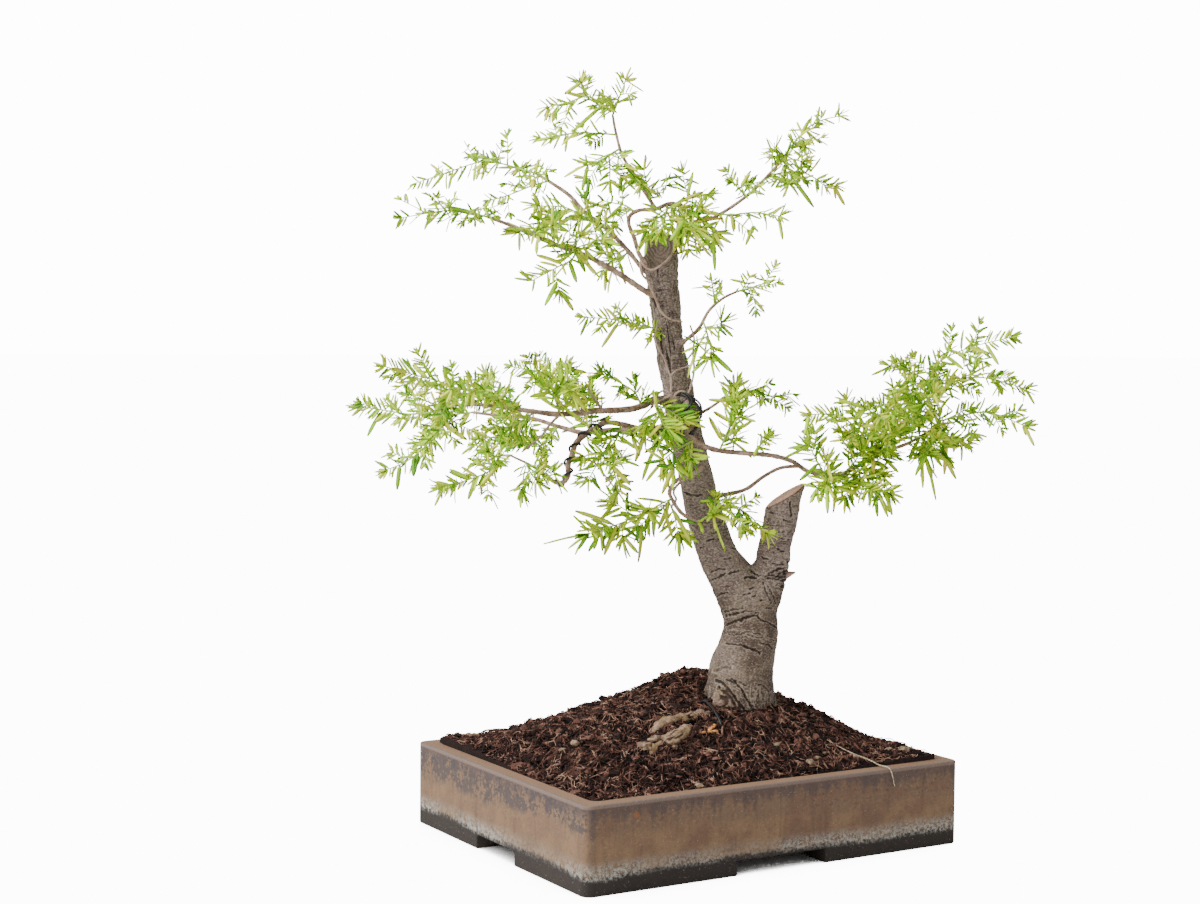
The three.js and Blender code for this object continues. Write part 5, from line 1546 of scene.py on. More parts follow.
@dataclass
class Timber:
    """The trunk and the stub with their cut faces, bark relief and surface roots."""

    voxel: float = 1.3
    side_step: float = 5.0
    collar: float = 1.5
    trunk_cut: Cut = ((-62, 519, 6), (-0.12, -0.75, 0.65))
    stub_cut: Cut = ((51, 302.5, 0), (-0.53, -0.075, 0.84))
    burl: tuple[float, float, float] = (-7.4, -30.0, 122.8)
    burl_height: float = 5.5
    twig_scar: tuple[float, float, float] = (52.0, -6.0, 231.0)
    lobes: tuple[Station, ...] = (
        (-41, 386, -13, 7.0), (-33, 377, -17, 7.2), (-36, 364.5, -17, 6.2), (-44, 377, -12, 6.0),
    )
    dashes: Crack = Crack(8.5, 6.0, 2.5, 0.8, 0.8, -0.14)
    nicks: Crack = Crack(5.2, 4.0, 1.5, 0.7, 0.5, -0.2)
    dashed: tuple[float, float, float, float] = (196.0, 206.0, 320.0, 370.0)
    seams: tuple[Seam, ...] = (
        Seam(188.0, 0.05, 4.0, 1.5, 2.0), Seam(165.0, -0.1, 3.0, 1.0, 1.3),
        Seam(211.0, 0.05, 2.5, 0.8, 0.8), Seam(228.0, -0.12, 3.0, 0.9, 1.0),
    )
    finish: BarkFinish = BarkFinish()
    root_ring: tuple[float, float] = (32.0, 39.0)
    root_top: float = 60.0
    root_search: float = 60.0
    lip_under: float = 2.6
    lip_width: float = 1.6
    lip_height: float = 0.7
    scar_depth: float = 2.0

    def cut_stem(self, bench: Bench, stations: list[Station], cut: Cut) -> bmesh.types.BMesh:
        """Return a stem swept along its stations and cut off by a slanted plane."""
        run = smooth_run(bench.stand.run(stations), self.side_step * MM)
        form = bmesh.new()
        form.from_mesh(bench.sweep([run], 6))
        point, way = cut
        bmesh.ops.bisect_plane(
            form, geom=[*form.verts, *form.edges, *form.faces],
            plane_co=bench.stand.place(*point), plane_no=bench.stand.facing(*way),
            clear_outer=True,
        )
        bmesh.ops.holes_fill(form, edges=[e for e in form.edges if e.is_boundary])
        return form

    def build(self, bench: Bench) -> None:
        """Build the bark and the cut faces of the thick wood.

        Args:
            bench: What makes the pieces.
        """
        form = self.cut_stem(bench, TRUNK, self.trunk_cut)
        stub = self.cut_stem(bench, STUB, self.stub_cut)
        form.from_mesh(to_mesh(stub, "stub"))
        runs = [smooth_run(bench.stand.run(root), 3 * MM) for root in ROOTS.values()]
        for stations in BRANCHES.values():
            if stations[0][3] < 2.4:
                continue
            (start, thick), (end, thin) = bench.stand.run(stations[:2])
            flare = [
                (start, thick * self.collar), (start.lerp(end, 0.55), thick * 1.1), (end, thin)
            ]
            runs.append(smooth_run(flare, 2 * MM))
        form.from_mesh(bench.sweep(runs, 4))
        for centre, radius in bench.stand.run(list(self.lobes)):
            matrix = Matrix.Translation(centre)
            bmesh.ops.create_icosphere(form, subdivisions=3, radius=radius, matrix=matrix)
        holder = bpy.data.objects.new("wood", to_mesh(form, "wood"))
        remesh = holder.modifiers.new("remesh", "REMESH")
        remesh.mode = "VOXEL"
        remesh.voxel_size = self.voxel * MM
        remesh.adaptivity = 0.0
        mesh = bench.baked(holder)
        self.carve(bench, mesh)
        for polygon in mesh.polygons:
            polygon.use_smooth = True
        bench.piece("trunk_and_roots", mesh, [self.finish], ("tree_wood",))

    def stems(self, bench: Bench) -> tuple[KDTree, list[tuple]]:
        """Return a search tree of the stems' and roots' axes, and what is at each point."""
        rows = []
        lines = [(TRUNK, 0.0), (STUB, 0.0), *((root, 1.0) for root in ROOTS.values())]
        for line, (stations, root) in enumerate(lines):
            run = smooth_run(bench.stand.run(stations), 3 * MM)
            along = line * 1000.0
            for i, ((centre, radius), axes) in enumerate(zip(run, frames(run))):
                along += (centre - run[max(i - 1, 0)][0]).length / MM
                rows.append((centre, radius, axes, along, root))
        tree = KDTree(len(rows))
        for i, row in enumerate(rows):
            tree.insert(row[0], i)
        tree.balance()
        return tree, rows

    def carve(self, bench: Bench, mesh: bpy.types.Mesh) -> None:
        """Move the bark in and out, and mark its cracks, the painted shade in its hollows and
        grooves, its cuts, rings and roots.
        """
        stand = bench.stand
        tree, rows = self.stems(bench)
        planes = [(stand.place(*p), stand.facing(*w)) for p, w in (self.trunk_cut, self.stub_cut)]
        foot = stand.tree(12, 0, 0)
        burl = stand.tree(*self.burl)
        toward = stand.facing(0, -1, 0)
        marks = {
            mark: mesh.attributes.new(mark.value, "FLOAT", "POINT").data
            for mark in (Mark.CRACK_AND_SHADE, Mark.CUT, Mark.RING, Mark.ROOT)
        }
        normals = [vert.normal.copy() for vert in mesh.vertices]
        for vert, normal in zip(mesh.vertices, normals):
            index = tree.find(vert.co)[1]
            up = (vert.co.z - stand.pot.z) / MM
            away = (vert.co - foot).xy.length / MM
            root = rows[index][4] * smoothstep(*self.root_ring, away)
            if rows[index][4] and root < 1 and up > self.root_top:
                index = tree.find_range(vert.co, self.root_search * MM)
                index = min((i for _, i, _ in index if not rows[i][4]), default=0,
                            key=lambda i: (rows[i][0] - vert.co).length)
            centre, radius, (tangent, first, second), along, _ = rows[index]
            arm = vert.co - centre
            here = along + arm.dot(tangent) / MM
            angle = math.atan2(arm.dot(second), arm.dot(first))
            ring = Vector((math.cos(angle), math.sin(angle), 0)) * (radius / MM)
            under = min(
                -(vert.co - point).dot(way) / MM if (vert.co - point).length < 40 * MM else 99.0
                for point, way in planes
            )
            cut = 1 - smoothstep(0.5, 1.1, under)
            front = normal.dot(toward)
            amount, crack = self.relief(vert.co, up, here, ring, angle, root, front, radius / MM)
            fold, dark = self.fold_at(*stand.shown(vert.co), front)
            amount -= fold
            swell, hollow_shade = self.burl_at((vert.co - burl) / MM)
            scar = self.scar_at((vert.co - stand.tree(*self.twig_scar)) / MM, vert.co / MM)
            amount += swell - self.scar_depth * scar
            # Painted shade: the burl's hollows darken with the cracks.
            crack = max(crack, dark, hollow_shade, scar)
            lip = math.exp(-(((under - self.lip_under) / self.lip_width) ** 2)) * self.lip_height
            vert.co += normal * ((amount * (1 - cut) + lip) * MM)
            marks[Mark.CRACK_AND_SHADE][vert.index].value = crack * (1 - cut)
            marks[Mark.CUT][vert.index].value = cut
            pith = (arm - tangent * arm.dot(tangent)).length
            marks[Mark.RING][vert.index].value = pith if cut > 0.1 else (vert.co - burl).length
            marks[Mark.ROOT][vert.index].value = root

    def fold_at(self, across: float, up: float, front: float) -> tuple[float, float]:
        """Work out the folds of the bark that have a place of their own.

        Args:
            across: The point's across as shown.
            up: The point's up as shown.
            front: How far the bark faces the front, from -1 to 1.

        Returns:
            How deep the folds are there, in mm, and how dark.
        """
        deep = dark = 0.0
        shown = smoothstep(0.05, 0.3, front)
        if shown == 0.0:
            return deep, dark
        spot = Vector((across / 3.2, up / 3.2, 0.5))
        bent = Vector(
            (across + noise.noise(spot), up + noise.noise(spot + Vector((9, 9, 9))) * 1.2)
        )
        for width, depth, shade, route in FOLDS:
            reach = width * 2.2 + 2
            if not route[0][1] - 40 < up < route[0][1] + 40:
                continue
            nearest = math.inf
            for start, end in zip(route, route[1:]):
                start, end = Vector(start), Vector(end)
                if min(start.x, end.x) - reach < bent.x < max(start.x, end.x) + reach:
                    share = min(max((bent - start).dot(end - start) / (end - start).length_squared,
                                    0.0), 1.0)
                    nearest = min(nearest, (bent - start.lerp(end, share)).length)
            if nearest < reach:
                ragged = 0.7 + 0.6 * noise.noise(Vector((across / 2.1, up / 2.1, width)))
                value = math.exp(-((nearest / ((width * 0.8 + 0.35) * ragged)) ** 2)) * shown
                deep = max(deep, depth * value)
                dark = max(dark, shade * value)
        return deep, dark

    def burl_at(self, arm: Vector) -> tuple[float, float]:
        """Return how far the burl stands out, in mm, and how deep in its hollows a point is, for
        the painted shade in the hollows.
        """
        away = arm.length
        if away > 34:
            return 0.0, 0.0
        knot = noise.fractal(arm / 4.5, 0.9, 2.1, 3) * 2.4 * (1 - smoothstep(9.0, 16.0, away))
        swell = self.burl_height * math.exp(-((away / 10.0) ** 2)) + knot
        return swell, max(-knot, 0.0) * 0.6

    def scar_at(self, arm: Vector, spot: Vector) -> float:
        """Return how deep in the torn bark round the broken twig a point is."""
        away = arm.length
        if away > 22:
            return 0.0
        torn = noise.noise(Vector((spot.x / 7, spot.y / 7, spot.z / 2.2))) - 0.05
        return smoothstep(0.0, 0.25, torn) * (1 - smoothstep(9.0, 20.0, away))

    def relief(
        self,
        point: Vector,
        up: float,
        along: float,
        ring: Vector,
        angle: float,
        root: float,
        front: float,
        radius: float,
    ) -> tuple[float, float]:
        """Work out the bark at a point.

        Args:
            point: The point, in metres.
            up: Its height, in mm.
            along: Its place along its stem, in mm.
            ring: Its place round the stem's axis, in mm.
            angle: Its angle round the stem's axis.
            root: 1 on a surface root, 0 elsewhere.
            front: How far the bark faces the front, from -1 to 1.
            radius: The stem's radius, in mm.

        Returns:
            How far the bark stands out, in mm, and how deep in a crack the point is; a root's
            grooves are marked the same way as painted shade.
        """
        spot = point / MM
        foot = (1 - smoothstep(100, 150, up)) * (1 - root)
        older = smoothstep(330, 470, up)
        stem = 1 - root
        start, full, fading, end = self.dashed
        hidden = (1 - smoothstep(0.0, 0.25, front)) * stem
        dashed = smoothstep(start, full, up) * (1 - smoothstep(fading, end, up)) * hidden
        amount = noise.fractal(spot / 24, 0.9, 2.0, 2) * 1.1
        amount += noise.fractal(spot / 5.5, 0.8, 2.2, 3) * lerp(0.45, 1.0, older)
        split = noise.noise(Vector((ring.x / 2.6, ring.y / 2.6, along / 26)))
        amount -= older * stem * max(split, 0.0) * 2.2
        lengthwise = noise.noise(Vector((ring.x / 2.4, ring.y / 2.4, along / 16)))
        amount += root * (lengthwise * 1.6 + noise.fractal(spot / 7, 0.9, 2.1, 3) * 2.2)
        short = self.dashes.depth_at(along, ring) * dashed
        nick = self.nicks.depth_at(along, ring) * dashed
        seams = [seam.depth_at(up, ring) * hidden for seam in self.seams]
        crack = max(short, nick, older * stem * smoothstep(0.22, 0.5, split), *seams)
        amount -= self.dashes.depth * short + self.nicks.depth * nick
        amount -= sum(seam.depth * deep for seam, deep in zip(self.seams, seams))
        folds = noise.noise(Vector((ring.x / 9, ring.y / 9, along / 52)))
        amount += foot * (1.2 - 3.6 * abs(folds))
        lobes = 0.09 * math.cos(3 * angle + 0.6) + 0.05 * math.cos(5 * angle + 1.9)
        amount += foot * lobes * radius
        crack = max(crack, foot * (1 - smoothstep(0.0, 0.09, abs(folds))) * 0.6)
        # Painted shade: the roots' grooves are darkened with the cracks.
        crack = max(crack, root * smoothstep(0.15, 0.6, -lengthwise))
        return amount, crack


@dataclass
class Branches:
    """The thin wood: branches and a broken twig, with knots."""

    step: float = 2.2
    finish: TwigFinish = TwigFinish("branch_bark")
    pale: TwigFinish = TwigFinish("pale_twig_bark", 0xA8897A, 0x6E544A, 0xC4A898)

    def build(self, bench: Bench) -> None:
        """Sweep every branch with an uneven radius, and the thin twigs before the trunk."""
        for name, routes, finish, replaced in (
            ("branches", BRANCHES, self.finish, ("tree_wood",)),
            ("front_twigs", FRONT_TWIGS, self.pale, ()),
        ):
            runs = []
            for n, stations in enumerate(routes.values()):
                run = smooth_run(bench.stand.run(stations), self.step * MM)
                knots = []
                for k, (centre, radius) in enumerate(run):
                    swell = noise.noise(Vector((k * 0.45, n * 5.3, 0.2))) * 0.13
                    swell += max(noise.noise(Vector((k * 1.7, n * 3.1, 4.4))), 0) * 0.22
                    knots.append((centre, radius * (1 + swell)))
                runs.append(knots)
            bench.piece(name, bench.sweep(runs, 3), [finish], replaced)


@dataclass
class Wires:
    """Black training wire."""

    radius: float = 1.0
    gap: float = 0.15
    pair: float = 2.2
    steps_a_turn: int = 18
    finish: PlainFinish = PlainFinish("black_wire", 0x0E0E10, 0x1A1A1E, 300, 0.38, 0.00005)

    def wound(
        self, bench: Bench, stations: list[Station], turns: float, start: float = 0.0
    ) -> Run:
        """Return the centres of a wire wound round some stations of a branch.

        Args:
            bench: What gives places in the pot.
            stations: The branch's stations.
            turns: How many turns the wire takes.
            start: The turn that it starts at.

        Returns:
            The wire's centres and radii.
        """
        axis = smooth_run(bench.stand.run(stations), 1.5 * MM)
        ways = frames(axis)
        count = round(turns * self.steps_a_turn)
        run = []
        for k in range(count + 1):
            place = k / count * (len(axis) - 1)
            i = min(int(place), len(axis) - 2)
            share = place - i
            centre = axis[i][0].lerp(axis[i + 1][0], share)
            reach = lerp(axis[i][1], axis[i + 1][1], share) + (self.radius + self.gap) * MM
            normal = ways[i][1].lerp(ways[i + 1][1], share).normalized()
            side = ways[i][2].lerp(ways[i + 1][2], share).normalized()
            angle = (start + k / self.steps_a_turn) * math.tau
            centre += (normal * math.cos(angle) + side * math.sin(angle)) * reach
            run.append((centre, self.radius * MM))
        return run

    def build(self, bench: Bench) -> None:
        """Wind the two wires and set the wire end in the soil."""
        hanging = [self.wound(bench, BRANCHES["hanging"][3:12], 6)]
        knob = BRANCHES["toward_front"]
        front = [self.wound(bench, knob[1:5], 2.0)]
        for stations in KNOB_ARCS:
            arc = smooth_run(bench.stand.run(stations), 1.5 * MM)
            twin = bench.stand.facing(0.7, -0.2, 0.7) * self.pair * MM
            front += [arc, [(centre + twin, radius) for centre, radius in arc]]
        end = [smooth_run(bench.stand.run(WIRE_END), 1.5 * MM)]
        for name, runs in (("hanging", hanging), ("front", front), ("end", end)):
            mesh = bench.sweep(runs, 3)
            bench.piece(f"black_wire_{name}", mesh, [self.finish], (f"wire_{name}",))


@dataclass
class Litter:
    """Bark chips, an orange wood chip and a pale fibre on the soil."""

    chips: list[tuple[float, float, float]] = field(
        default_factory=lambda: [
            (-124, -20, 4.2), (-133, -15, 3.2), (-149, 117, 3.6), (-150, 126, 3.0),
            (48, -124, 4.2), (57, -121, 3.0), (98, -121, 3.0), (-65, -124, 3.6), (-119, -117, 3.4),
            (168, -64, 3.4), (157, -116, 4.4), (146, -108, 3.2), (164, -104, 3.4),
            (-70, -64, 5.2), (-82, -65, 5.6), (-58, -74, 3.2), (30, -100, 2.6), (74, -112, 2.8),
        ]
    )
    pale_chip: PlainFinish = PlainFinish("pale_bark_chip", 0xA58C70, 0x6E5444, 260, 0.75, 0.0008)
    chip: PlainFinish = PlainFinish("orange_chip", 0xF0AE62, 0xC4763C, 300, 0.7)
    fibre: PlainFinish = PlainFinish("pale_fibre", 0xD8C9AC, 0xA8926E, 600, 0.8)

    def build(self, bench: Bench, soil: Soil) -> None:
        """Lay the litter on the mound.

        Args:
            bench: What makes the pieces.
            soil: The mound.
        """
        form = bmesh.new()
        for x, y, size in self.chips:
            centre = soil.surface(bench, x, y) + Vector((0, 0, size * 0.45 * MM))
            shape = Matrix.Rotation(x * y, 4, "Z") @ Matrix.Diagonal(
                (size * 1.3 * MM, size * 0.85 * MM, size * 0.6 * MM, 1)
            )
            made = bmesh.ops.create_icosphere(
                form, subdivisions=3, radius=1.0, matrix=Matrix.Translation(centre) @ shape
            )
            for vert in made["verts"]:
                spot = vert.co / (3.1 * MM)
                vert.co += (vert.co - centre) * noise.fractal(spot, 0.9, 2.1, 3) * 0.5
        bench.piece("bark_chips", to_mesh(form, "bark_chips"), [self.pale_chip])
        self.lay_chip(bench)
        self.lay_fibre(bench, soil)

    def lay_chip(self, bench: Bench) -> None:
        """Lay the forked orange chip below the roots."""
        form = bmesh.new()
        for start, end, wide in (
            (bench.stand.tree(-25, -82.5, 103.5), bench.stand.tree(-11, -77.5, 104.5), 3.2),
            (bench.stand.tree(-19, -80, 105), bench.stand.tree(-12.5, -69, 108.5), 2.8),
        ):
            way = end - start
            turn = way.to_track_quat("X", "Z").to_matrix().to_4x4()
            size = Matrix.Diagonal((way.length, wide * MM, 1.5 * MM, 1))
            matrix = Matrix.Translation((start + end) / 2) @ turn @ size
            bmesh.ops.create_cube(form, size=1.0, matrix=matrix)
        bmesh.ops.subdivide_edges(form, edges=form.edges, cuts=4, use_grid_fill=True)
        for vert in form.verts:
            vert.co += noise.noise_vector(vert.co / (3 * MM)) * 0.8 * MM
        bench.piece("wood_chip", to_mesh(form, "wood_chip"), [self.chip])

    def lay_fibre(self, bench: Bench, soil: Soil) -> None:
        """Hang the pale fibre over the rim."""
        pot = bench.stand.pot
        points = [(84, -96), (94, -106), (102, -117), (106, -128)]
        run = [(soil.surface(bench, x, y) + Vector((0, 0, 2.0 * MM)), 0.6 * MM) for x, y in points]
        run += [(pot + Vector(p) * MM, r * MM) for p, r in (
            ((109, -141, 75.2), 0.6), ((112, -150.5, 74.0), 0.55), ((114, -152.8, 68), 0.5),
            ((117, -152.4, 58), 0.35),
        )]
        mesh = bench.sweep([smooth_run(run, 1.5 * MM)], 1)
        bench.piece("pale_fibre", mesh, [self.fibre])


@dataclass(frozen=True)
class Leaf:
    """Where a leaf stands, and how it bends."""

    place: Matrix
    bend: float
    twist: float
    tone: float

    def shaped(self, grid: Vector) -> Vector:
        """Return where a point of the flat blade goes."""
        along, across = grid.y, grid.x
        half = 0.5 * min(0.3 + 5 * along, 1.0) * (1 - max(along - 0.7, 0.0) ** 2 * 6.5)
        rise = grid.z + 0.26 * abs(across) * min(along * 4, 1.0)
        angle = self.twist * along
        x = across * half
        return self.place @ Vector((
            x * math.cos(angle) - rise * math.sin(angle),
            along,
            x * math.sin(angle) + rise * math.cos(angle) + self.bend * along * along,
        ))


@dataclass(frozen=True)
class Habit:
    """How the leaves stand on one stretch of a shoot. Lengths are shares of the spray's own."""

    share: float
    lean: tuple[float, float]
    spread: float
    size: tuple[float, float]
    tone: float


@dataclass
class Foliage:
    """Shoots with narrow strap-like leaves: loose ranks, a comb near the end and a rosette."""

    spacing: float = 1.45
    twig_base: float = 1.05
    twig_tip: float = 0.5
    slender: float = 0.16
    widths: tuple[float, float] = (2.1, 3.9)
    sun: Colour = (-0.25, -0.85, 0.5)
    comb_reach: float = 22.0
    comb: Habit = Habit(0.86, (0.75, 1.1), 0.3, (0.7, 1.0), -0.05)
    loose: Habit = Habit(0.66, (0.65, 1.2), 0.75, (0.65, 1.6), 0.0)
    strap_share: float = 0.05
    strap: float = 1.7
    full_length: float = 15.0
    thin_top: tuple[float, float, float] = (470.0, 520.0, 0.38)
    long_tip: tuple[int, Habit] = (11, Habit(1.0, (0.3, 1.35), 3.2, (0.7, 1.05), 0.04))
    short_tip: tuple[int, Habit] = (6, Habit(1.0, (0.2, 0.9), 3.2, (0.5, 0.75), 0.0))
    short: float = 13.0
    side_gap: float = 11.5
    side_length: tuple[float, float] = (12.0, 30.0)
    side_share: float = 0.8
    seed: int = 705
    leaf: LeafFinish = LeafFinish()
    twig: TwigFinish = TwigFinish("twig_bark", 0x7E5C46, 0x4A3226, 0xA07E5A)
    odd_tone: float = 0.84
    odd_share: float = 0.02

    def blade(self) -> bpy.types.Mesh:
        """Return a flat closed blade, -1 to 1 across and 0 to 1 along."""
        form = bmesh.new()
        for sign in (1, -1):
            grid = bmesh.ops.create_grid(form, x_segments=2, y_segments=5, size=1.0)["verts"]
            for vert in grid:
                inner = abs(vert.co.x) < 0.5 and abs(vert.co.y) < 0.9
                vert.co.z = 0.09 * sign if inner else 0.0
                vert.co.y = (vert.co.y + 1) / 2
            if sign < 0:
                faces = {f for v in grid for f in v.link_faces}
                bmesh.ops.reverse_faces(form, faces=list(faces))
        bmesh.ops.remove_doubles(form, verts=form.verts, dist=0.001)
        return to_mesh(form, "blade")

    def build(self, bench: Bench) -> None:
        """Grow every spray as a piece of its own.

        Args:
            bench: What makes the pieces.
        """
        axes = [
            centre
            for stations in (TRUNK, STUB)
            for centre, _ in smooth_run(bench.stand.run(stations), 4 * MM)
        ]
        stems = KDTree(len(axes))
        for i, centre in enumerate(axes):
            stems.insert(centre, i)
        stems.balance()
        sun = bench.stand.facing(*self.sun)
        total = 0
        for n, (name, (length, routes)) in enumerate([*SPRAYS.items(), *FINE_SPRAYS.items()]):
            rng = random.Random(self.seed + n)
            hue = rng.uniform(-0.08, 0.1)
            runs = []
            leaves: list[Leaf] = []
            for route in routes:
                last = len(route) - 1
                ends = [
                    (bench.stand.place(*p), lerp(self.twig_base, self.twig_tip, i / last) * MM)
                    for i, p in enumerate(route)
                ]
                main = smooth_run(ends, self.spacing * MM)
                sides = self.side_shoots(main, sun, rng)
                runs += [main, *sides]
                leaves += self.leaves_on(main, stems, sun, length, hue, rng)
                for side in sides:
                    leaves += self.leaves_on(side, stems, sun, length * 0.88, hue, rng)
            mesh = self.grown(bench, runs, leaves)
            finishes = [self.leaf, self.twig]
            replaced = (f"spray_{name}",) if name in SPRAYS else ()
            bench.piece(f"leafy_{name}", mesh, finishes, replaced)
            total += len(leaves)
        LOG.info("leaves: %d", total)

    def grown(self, bench: Bench, runs: list[Run], leaves: list[Leaf]) -> bpy.types.Mesh:
        """Return one mesh of leaves and twigs, the twigs with the second finish."""
        marks = (Mark.TONE, Mark.ALONG, Mark.ACROSS)
        form, groups, (tone, along, across) = copies(self.blade(), len(leaves), marks)
        for verts, leaf in zip(groups, leaves):
            for vert in verts:
                vert[tone] = leaf.tone
                vert[along] = vert.co.y
                vert[across] = vert.co.x
                vert.co = leaf.shaped(vert.co)
        before = len(form.faces)
        form.from_mesh(bench.sweep(runs, 1))
        form.faces.ensure_lookup_table()
        for face in form.faces[before:]:
            face.material_index = 1
        return to_mesh(form, "spray")

    def side_shoots(self, run: Run, sun: Vector, rng: random.Random) -> list[Run]:
        """Plan short side shoots along a shoot.

        Args:
            run: The shoot.
            sun: Where most of the light comes from.
            rng: The spray's random draws.

        Returns:
            The side shoots.
        """
        ways = frames(run)
        made = []
        every = round(self.side_gap / self.spacing)
        place = round(every * rng.uniform(0.3, 0.9))
        low, high, loss = self.thin_top
        every = round(every * (1 + loss * smoothstep(low, high, run[0][0].z / MM)))
        while place < (len(run) - 1) * self.side_share:
            tangent = ways[place][0]
            level = tangent.cross(sun + Vector((0, 0, 0.6)))
            level = level.normalized() if level.length > 0.2 else ways[place][2]
            sign = 1 if len(made) % 2 else -1
            out = level * sign * rng.uniform(0.5, 1.0) + ways[place][1] * rng.gauss(0, 0.55)
            way = (tangent * rng.uniform(0.5, 0.9) + out).normalized()
            reach = rng.uniform(*self.side_length) * lerp(1.0, 0.7, place / len(run)) * MM
            start, thick = run[place]
            bend = Vector((rng.gauss(0, 0.12), rng.gauss(0, 0.12), rng.gauss(0.02, 0.16)))
            points = [
                (start + (way * k + bend * k * k) * reach, lerp(thick * 0.8, 0.4 * MM, k))
                for k in (0.0, 0.5, 1.0)
            ]
            made.append(smooth_run(points, self.spacing * MM))
            place += max(2, round(every * rng.uniform(0.7, 1.35)))
        return made

    def leaves_on(
        self, run: Run, stems: KDTree, sun: Vector, length: float, hue: float, rng: random.Random
    ) -> list[Leaf]:
        """Plan the leaves along one shoot and round its tip.

        Args:
            run: The shoot.
            stems: The trunk's and the stub's axes, which leaves stay out of.
            sun: Where most of the light comes from.
            length: The mean leaf length, in mm.
            hue: The spray's own shift of tone.
            rng: The spray's random draws.

        Returns:
            The leaves.
        """
        ways = frames(run)
        leaves = []
        last = len(run) - 1
        tips, tip = self.long_tip if length >= self.short else self.short_tip
        combed = last - round(self.comb_reach / self.spacing)
        jobs = [(i, self.comb if i > combed else self.loose) for i in range(1, last)]
        jobs += [(last, tip)] * tips
        low, high, loss = self.thin_top
        cover = min(self.full_length / length, 1.0)
        cover *= 1 - loss * smoothstep(low, high, run[0][0].z / MM)
        tilt = rng.gauss(0, 0.45)
        for order, (i, habit) in enumerate(jobs):
            share = habit.share * (math.sqrt(cover) if habit is tip else cover)
            if rng.random() > share:
                continue
            tangent = ways[i][0]
            side = tangent.cross(sun)
            side = side.normalized() if side.length > 0.2 else ways[i][2]
            top = side.cross(tangent).normalized()
            side, top = (
                side * math.cos(tilt) + top * math.sin(tilt),
                top * math.cos(tilt) - side * math.sin(tilt),
            )
            roll = (order % 2) * math.pi + rng.gauss(0, habit.spread)
            lean = rng.uniform(*habit.lean)
            size = length * rng.uniform(*habit.size)
            out = side * math.cos(roll) + top * math.sin(roll)
            way = (tangent * math.cos(lean) + out * math.sin(lean)).normalized()
            strap = rng.random() < self.strap_share
            if strap:
                size *= self.strap
                way = (way + Vector((0, 0, -0.7))).normalized()
            centre = run[i][0] + tangent * rng.uniform(-0.8, 0.8) * MM
            middle, end = centre + way * size * 0.5 * MM, centre + way * size * MM
            if stems.find(middle)[2] < 15 * MM or stems.find(end)[2] < 17 * MM:
                continue
            jitter = Vector((rng.gauss(0, 0.5), rng.gauss(0, 0.5), rng.gauss(0, 0.5)))
            face = (top + jitter).normalized()
            across = way.cross(face).normalized()
            face = across.cross(way)
            broad = min(max(size * self.slender, self.widths[0]), self.widths[1])
            broad *= rng.uniform(0.85, 1.15)
            columns = (across * broad * MM, way * size * MM, face * broad * MM)
            turned = Matrix(columns).transposed().to_4x4()
            tone = rng.gauss(0.48, 0.36) + hue + habit.tone + 0.2 * strap
            tone = min(max(tone, 0.0), self.odd_tone)
            if rng.random() < self.odd_share:
                tone = rng.uniform(self.odd_tone, 1.0)
            bend, twist = rng.gauss(-0.35, 0.45), rng.gauss(0, 0.3)
            leaves.append(Leaf(Matrix.Translation(centre) @ turned, bend, twist, tone))
        return leaves


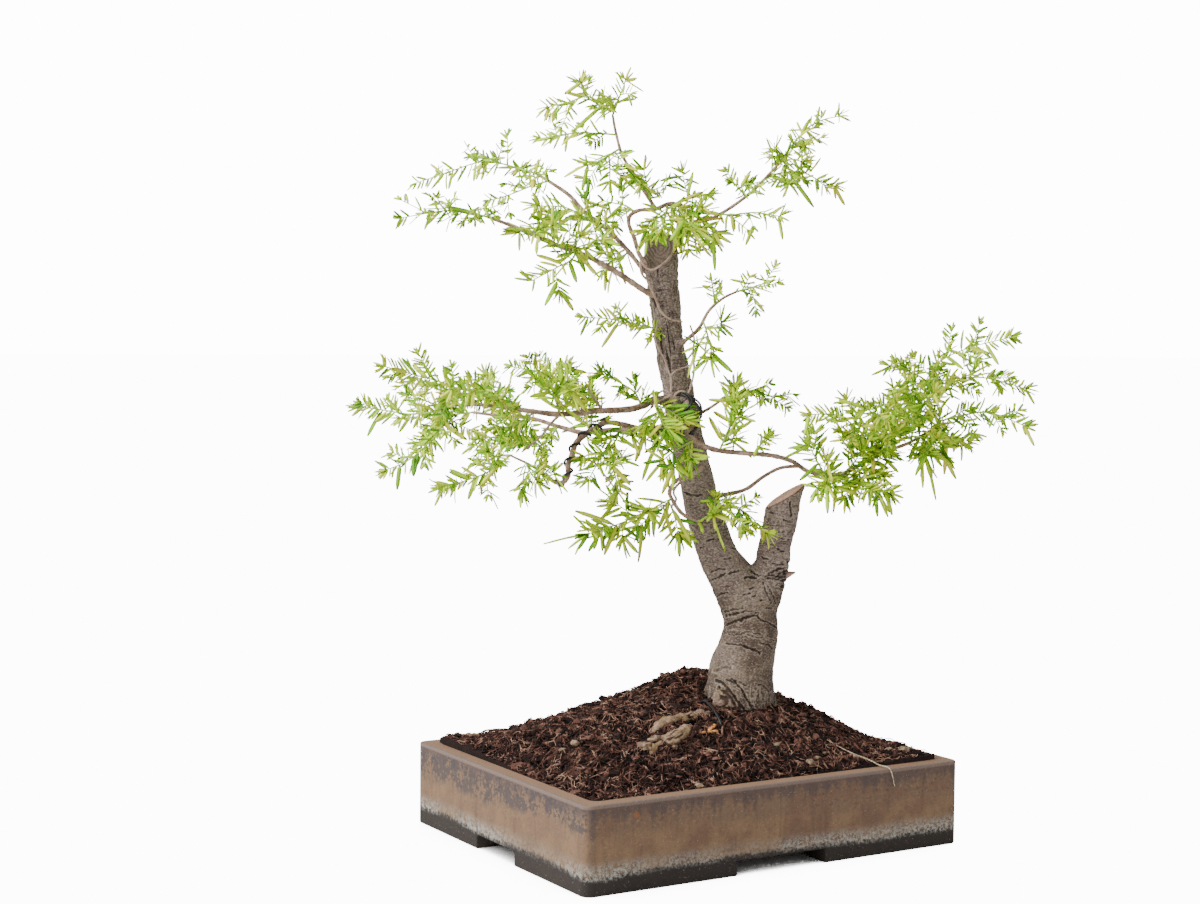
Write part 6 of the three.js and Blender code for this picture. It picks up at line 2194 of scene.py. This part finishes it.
@dataclass
class Studio:
    """A pale floor, a bright surround, one large soft light, and the camera of the photo."""

    eye: tuple[float, float, float] = (-1024.7, -1558.1, 447.4)
    yaw: float = math.radians(30.958)
    pitch: float = math.radians(3.321)
    roll: float = math.radians(0.550)
    lens: float = 63.262
    floor_size: float = 30.0
    floor_tone: int = 0xF0EFEC
    surround: float = 0.72
    backdrop: float = 14.0
    floor_glow: float = 14.5
    floor_veil: float = 0.88
    contact: float = 60.0
    key_power: float = 130.0
    key_size: float = 2.0
    key_place: tuple[float, float, float] = (-2200, -900, 2000)
    key_aim: tuple[float, float, float] = (-20, 0, 330)
    sensor: float = 36.0
    far: float = 100.0

    def build(self, bench: Bench) -> None:
        """Set up the floor, the lights and the camera.

        Args:
            bench: What makes the materials.
        """
        form = bmesh.new()
        bmesh.ops.create_grid(form, x_segments=1, y_segments=1, size=self.floor_size)
        mesh = to_mesh(form, "studio_floor", False)
        mesh.materials.append(self.floor_material())
        floor = bpy.data.objects.new("studio_floor", mesh)
        bpy.context.scene.collection.objects.link(floor)
        self.light(bench)
        self.aim(bench)

    def floor_material(self) -> bpy.types.Material:
        """Return a pale floor that is seen almost white, as in a bright studio."""
        shader = Shader("studio_floor", 0.9)
        shader.principled.inputs["Base Color"].default_value = hex_colour(self.floor_tone)
        seen = Number(shader, shader.node("ShaderNodeLightPath", {}, {}).outputs[0])
        reach = {"Distance": self.contact * MM}
        near = shader.node("ShaderNodeAmbientOcclusion", {"samples": 8}, reach)
        clear = Number(shader, near.outputs["AO"]).rise(0.3, 0.6)
        glow = shader.node("ShaderNodeEmission", {}, {"Strength": self.floor_glow})
        share = seen * clear * self.floor_veil
        sockets = {0: share, 1: shader.principled.outputs[0], 2: glow.outputs[0]}
        veil = shader.node("ShaderNodeMixShader", {}, sockets)
        output = shader.tree.nodes["Material Output"]
        shader.tree.links.new(veil.outputs[0], output.inputs["Surface"])
        return shader.material

    def light(self, bench: Bench) -> None:
        """Light the scene softly from the upper left front."""
        world = bpy.data.worlds.new("studio")
        world.use_nodes = True
        sky = Nodes(world.node_tree)
        seen = sky.node("ShaderNodeLightPath", {}, {}).outputs["Is Camera Ray"]
        levels = {"Value": seen, "To Min": self.surround, "To Max": self.backdrop}
        strength = sky.node("ShaderNodeMapRange", {}, levels)
        background = sky.tree.nodes["Background"]
        background.inputs["Color"].default_value = (1.0, 1.0, 1.0, 1.0)
        sky.tree.links.new(strength.outputs["Result"], background.inputs["Strength"])
        bpy.context.scene.world = world
        lamp = bpy.data.lights.new("key", "AREA")
        lamp.shape = "DISK"
        lamp.size = self.key_size
        lamp.energy = self.key_power
        key = bpy.data.objects.new("key", lamp)
        target = bench.stand.tree(*self.key_aim)
        key.location = bench.stand.tree(*self.key_place)
        key.rotation_euler = (target - key.location).to_track_quat("-Z", "Y").to_euler()
        bpy.context.scene.collection.objects.link(key)

    def aim(self, bench: Bench) -> None:
        """Place the camera of the photo."""
        forward = Vector((
            math.sin(self.yaw) * math.cos(self.pitch),
            math.cos(self.yaw) * math.cos(self.pitch),
            -math.sin(self.pitch),
        ))
        level = Vector((math.cos(self.yaw), -math.sin(self.yaw), 0))
        upright = level.cross(forward)
        right = level * math.cos(self.roll) + upright * math.sin(self.roll)
        up = upright * math.cos(self.roll) - level * math.sin(self.roll)
        turn = Matrix((right, up, -forward)).transposed().to_4x4()
        data = bpy.data.cameras.new("photo_camera")
        data.lens = self.lens
        data.sensor_width = self.sensor
        data.sensor_fit = "HORIZONTAL"
        data.clip_end = self.far
        camera = bpy.data.objects.new("photo_camera", data)
        camera.matrix_world = Matrix.Translation(bench.stand.pot + Vector(self.eye) * MM) @ turn
        bpy.context.scene.collection.objects.link(camera)
        bpy.context.scene.camera = camera


def main() -> None:
    """Build every piece."""
    logging.basicConfig(level=logging.INFO, format="%(message)s")
    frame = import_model()
    bench = Bench(frame)
    soil = Soil()
    Studio().build(bench)
    Pot().build(bench)
    Screens().dress(bench)
    soil.build(bench)
    Litter().build(bench, soil)
    Timber().build(bench)
    Branches().build(bench)
    Wires().build(bench)
    Foliage().build(bench)
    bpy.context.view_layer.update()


if __name__ == "__main__":
    main()
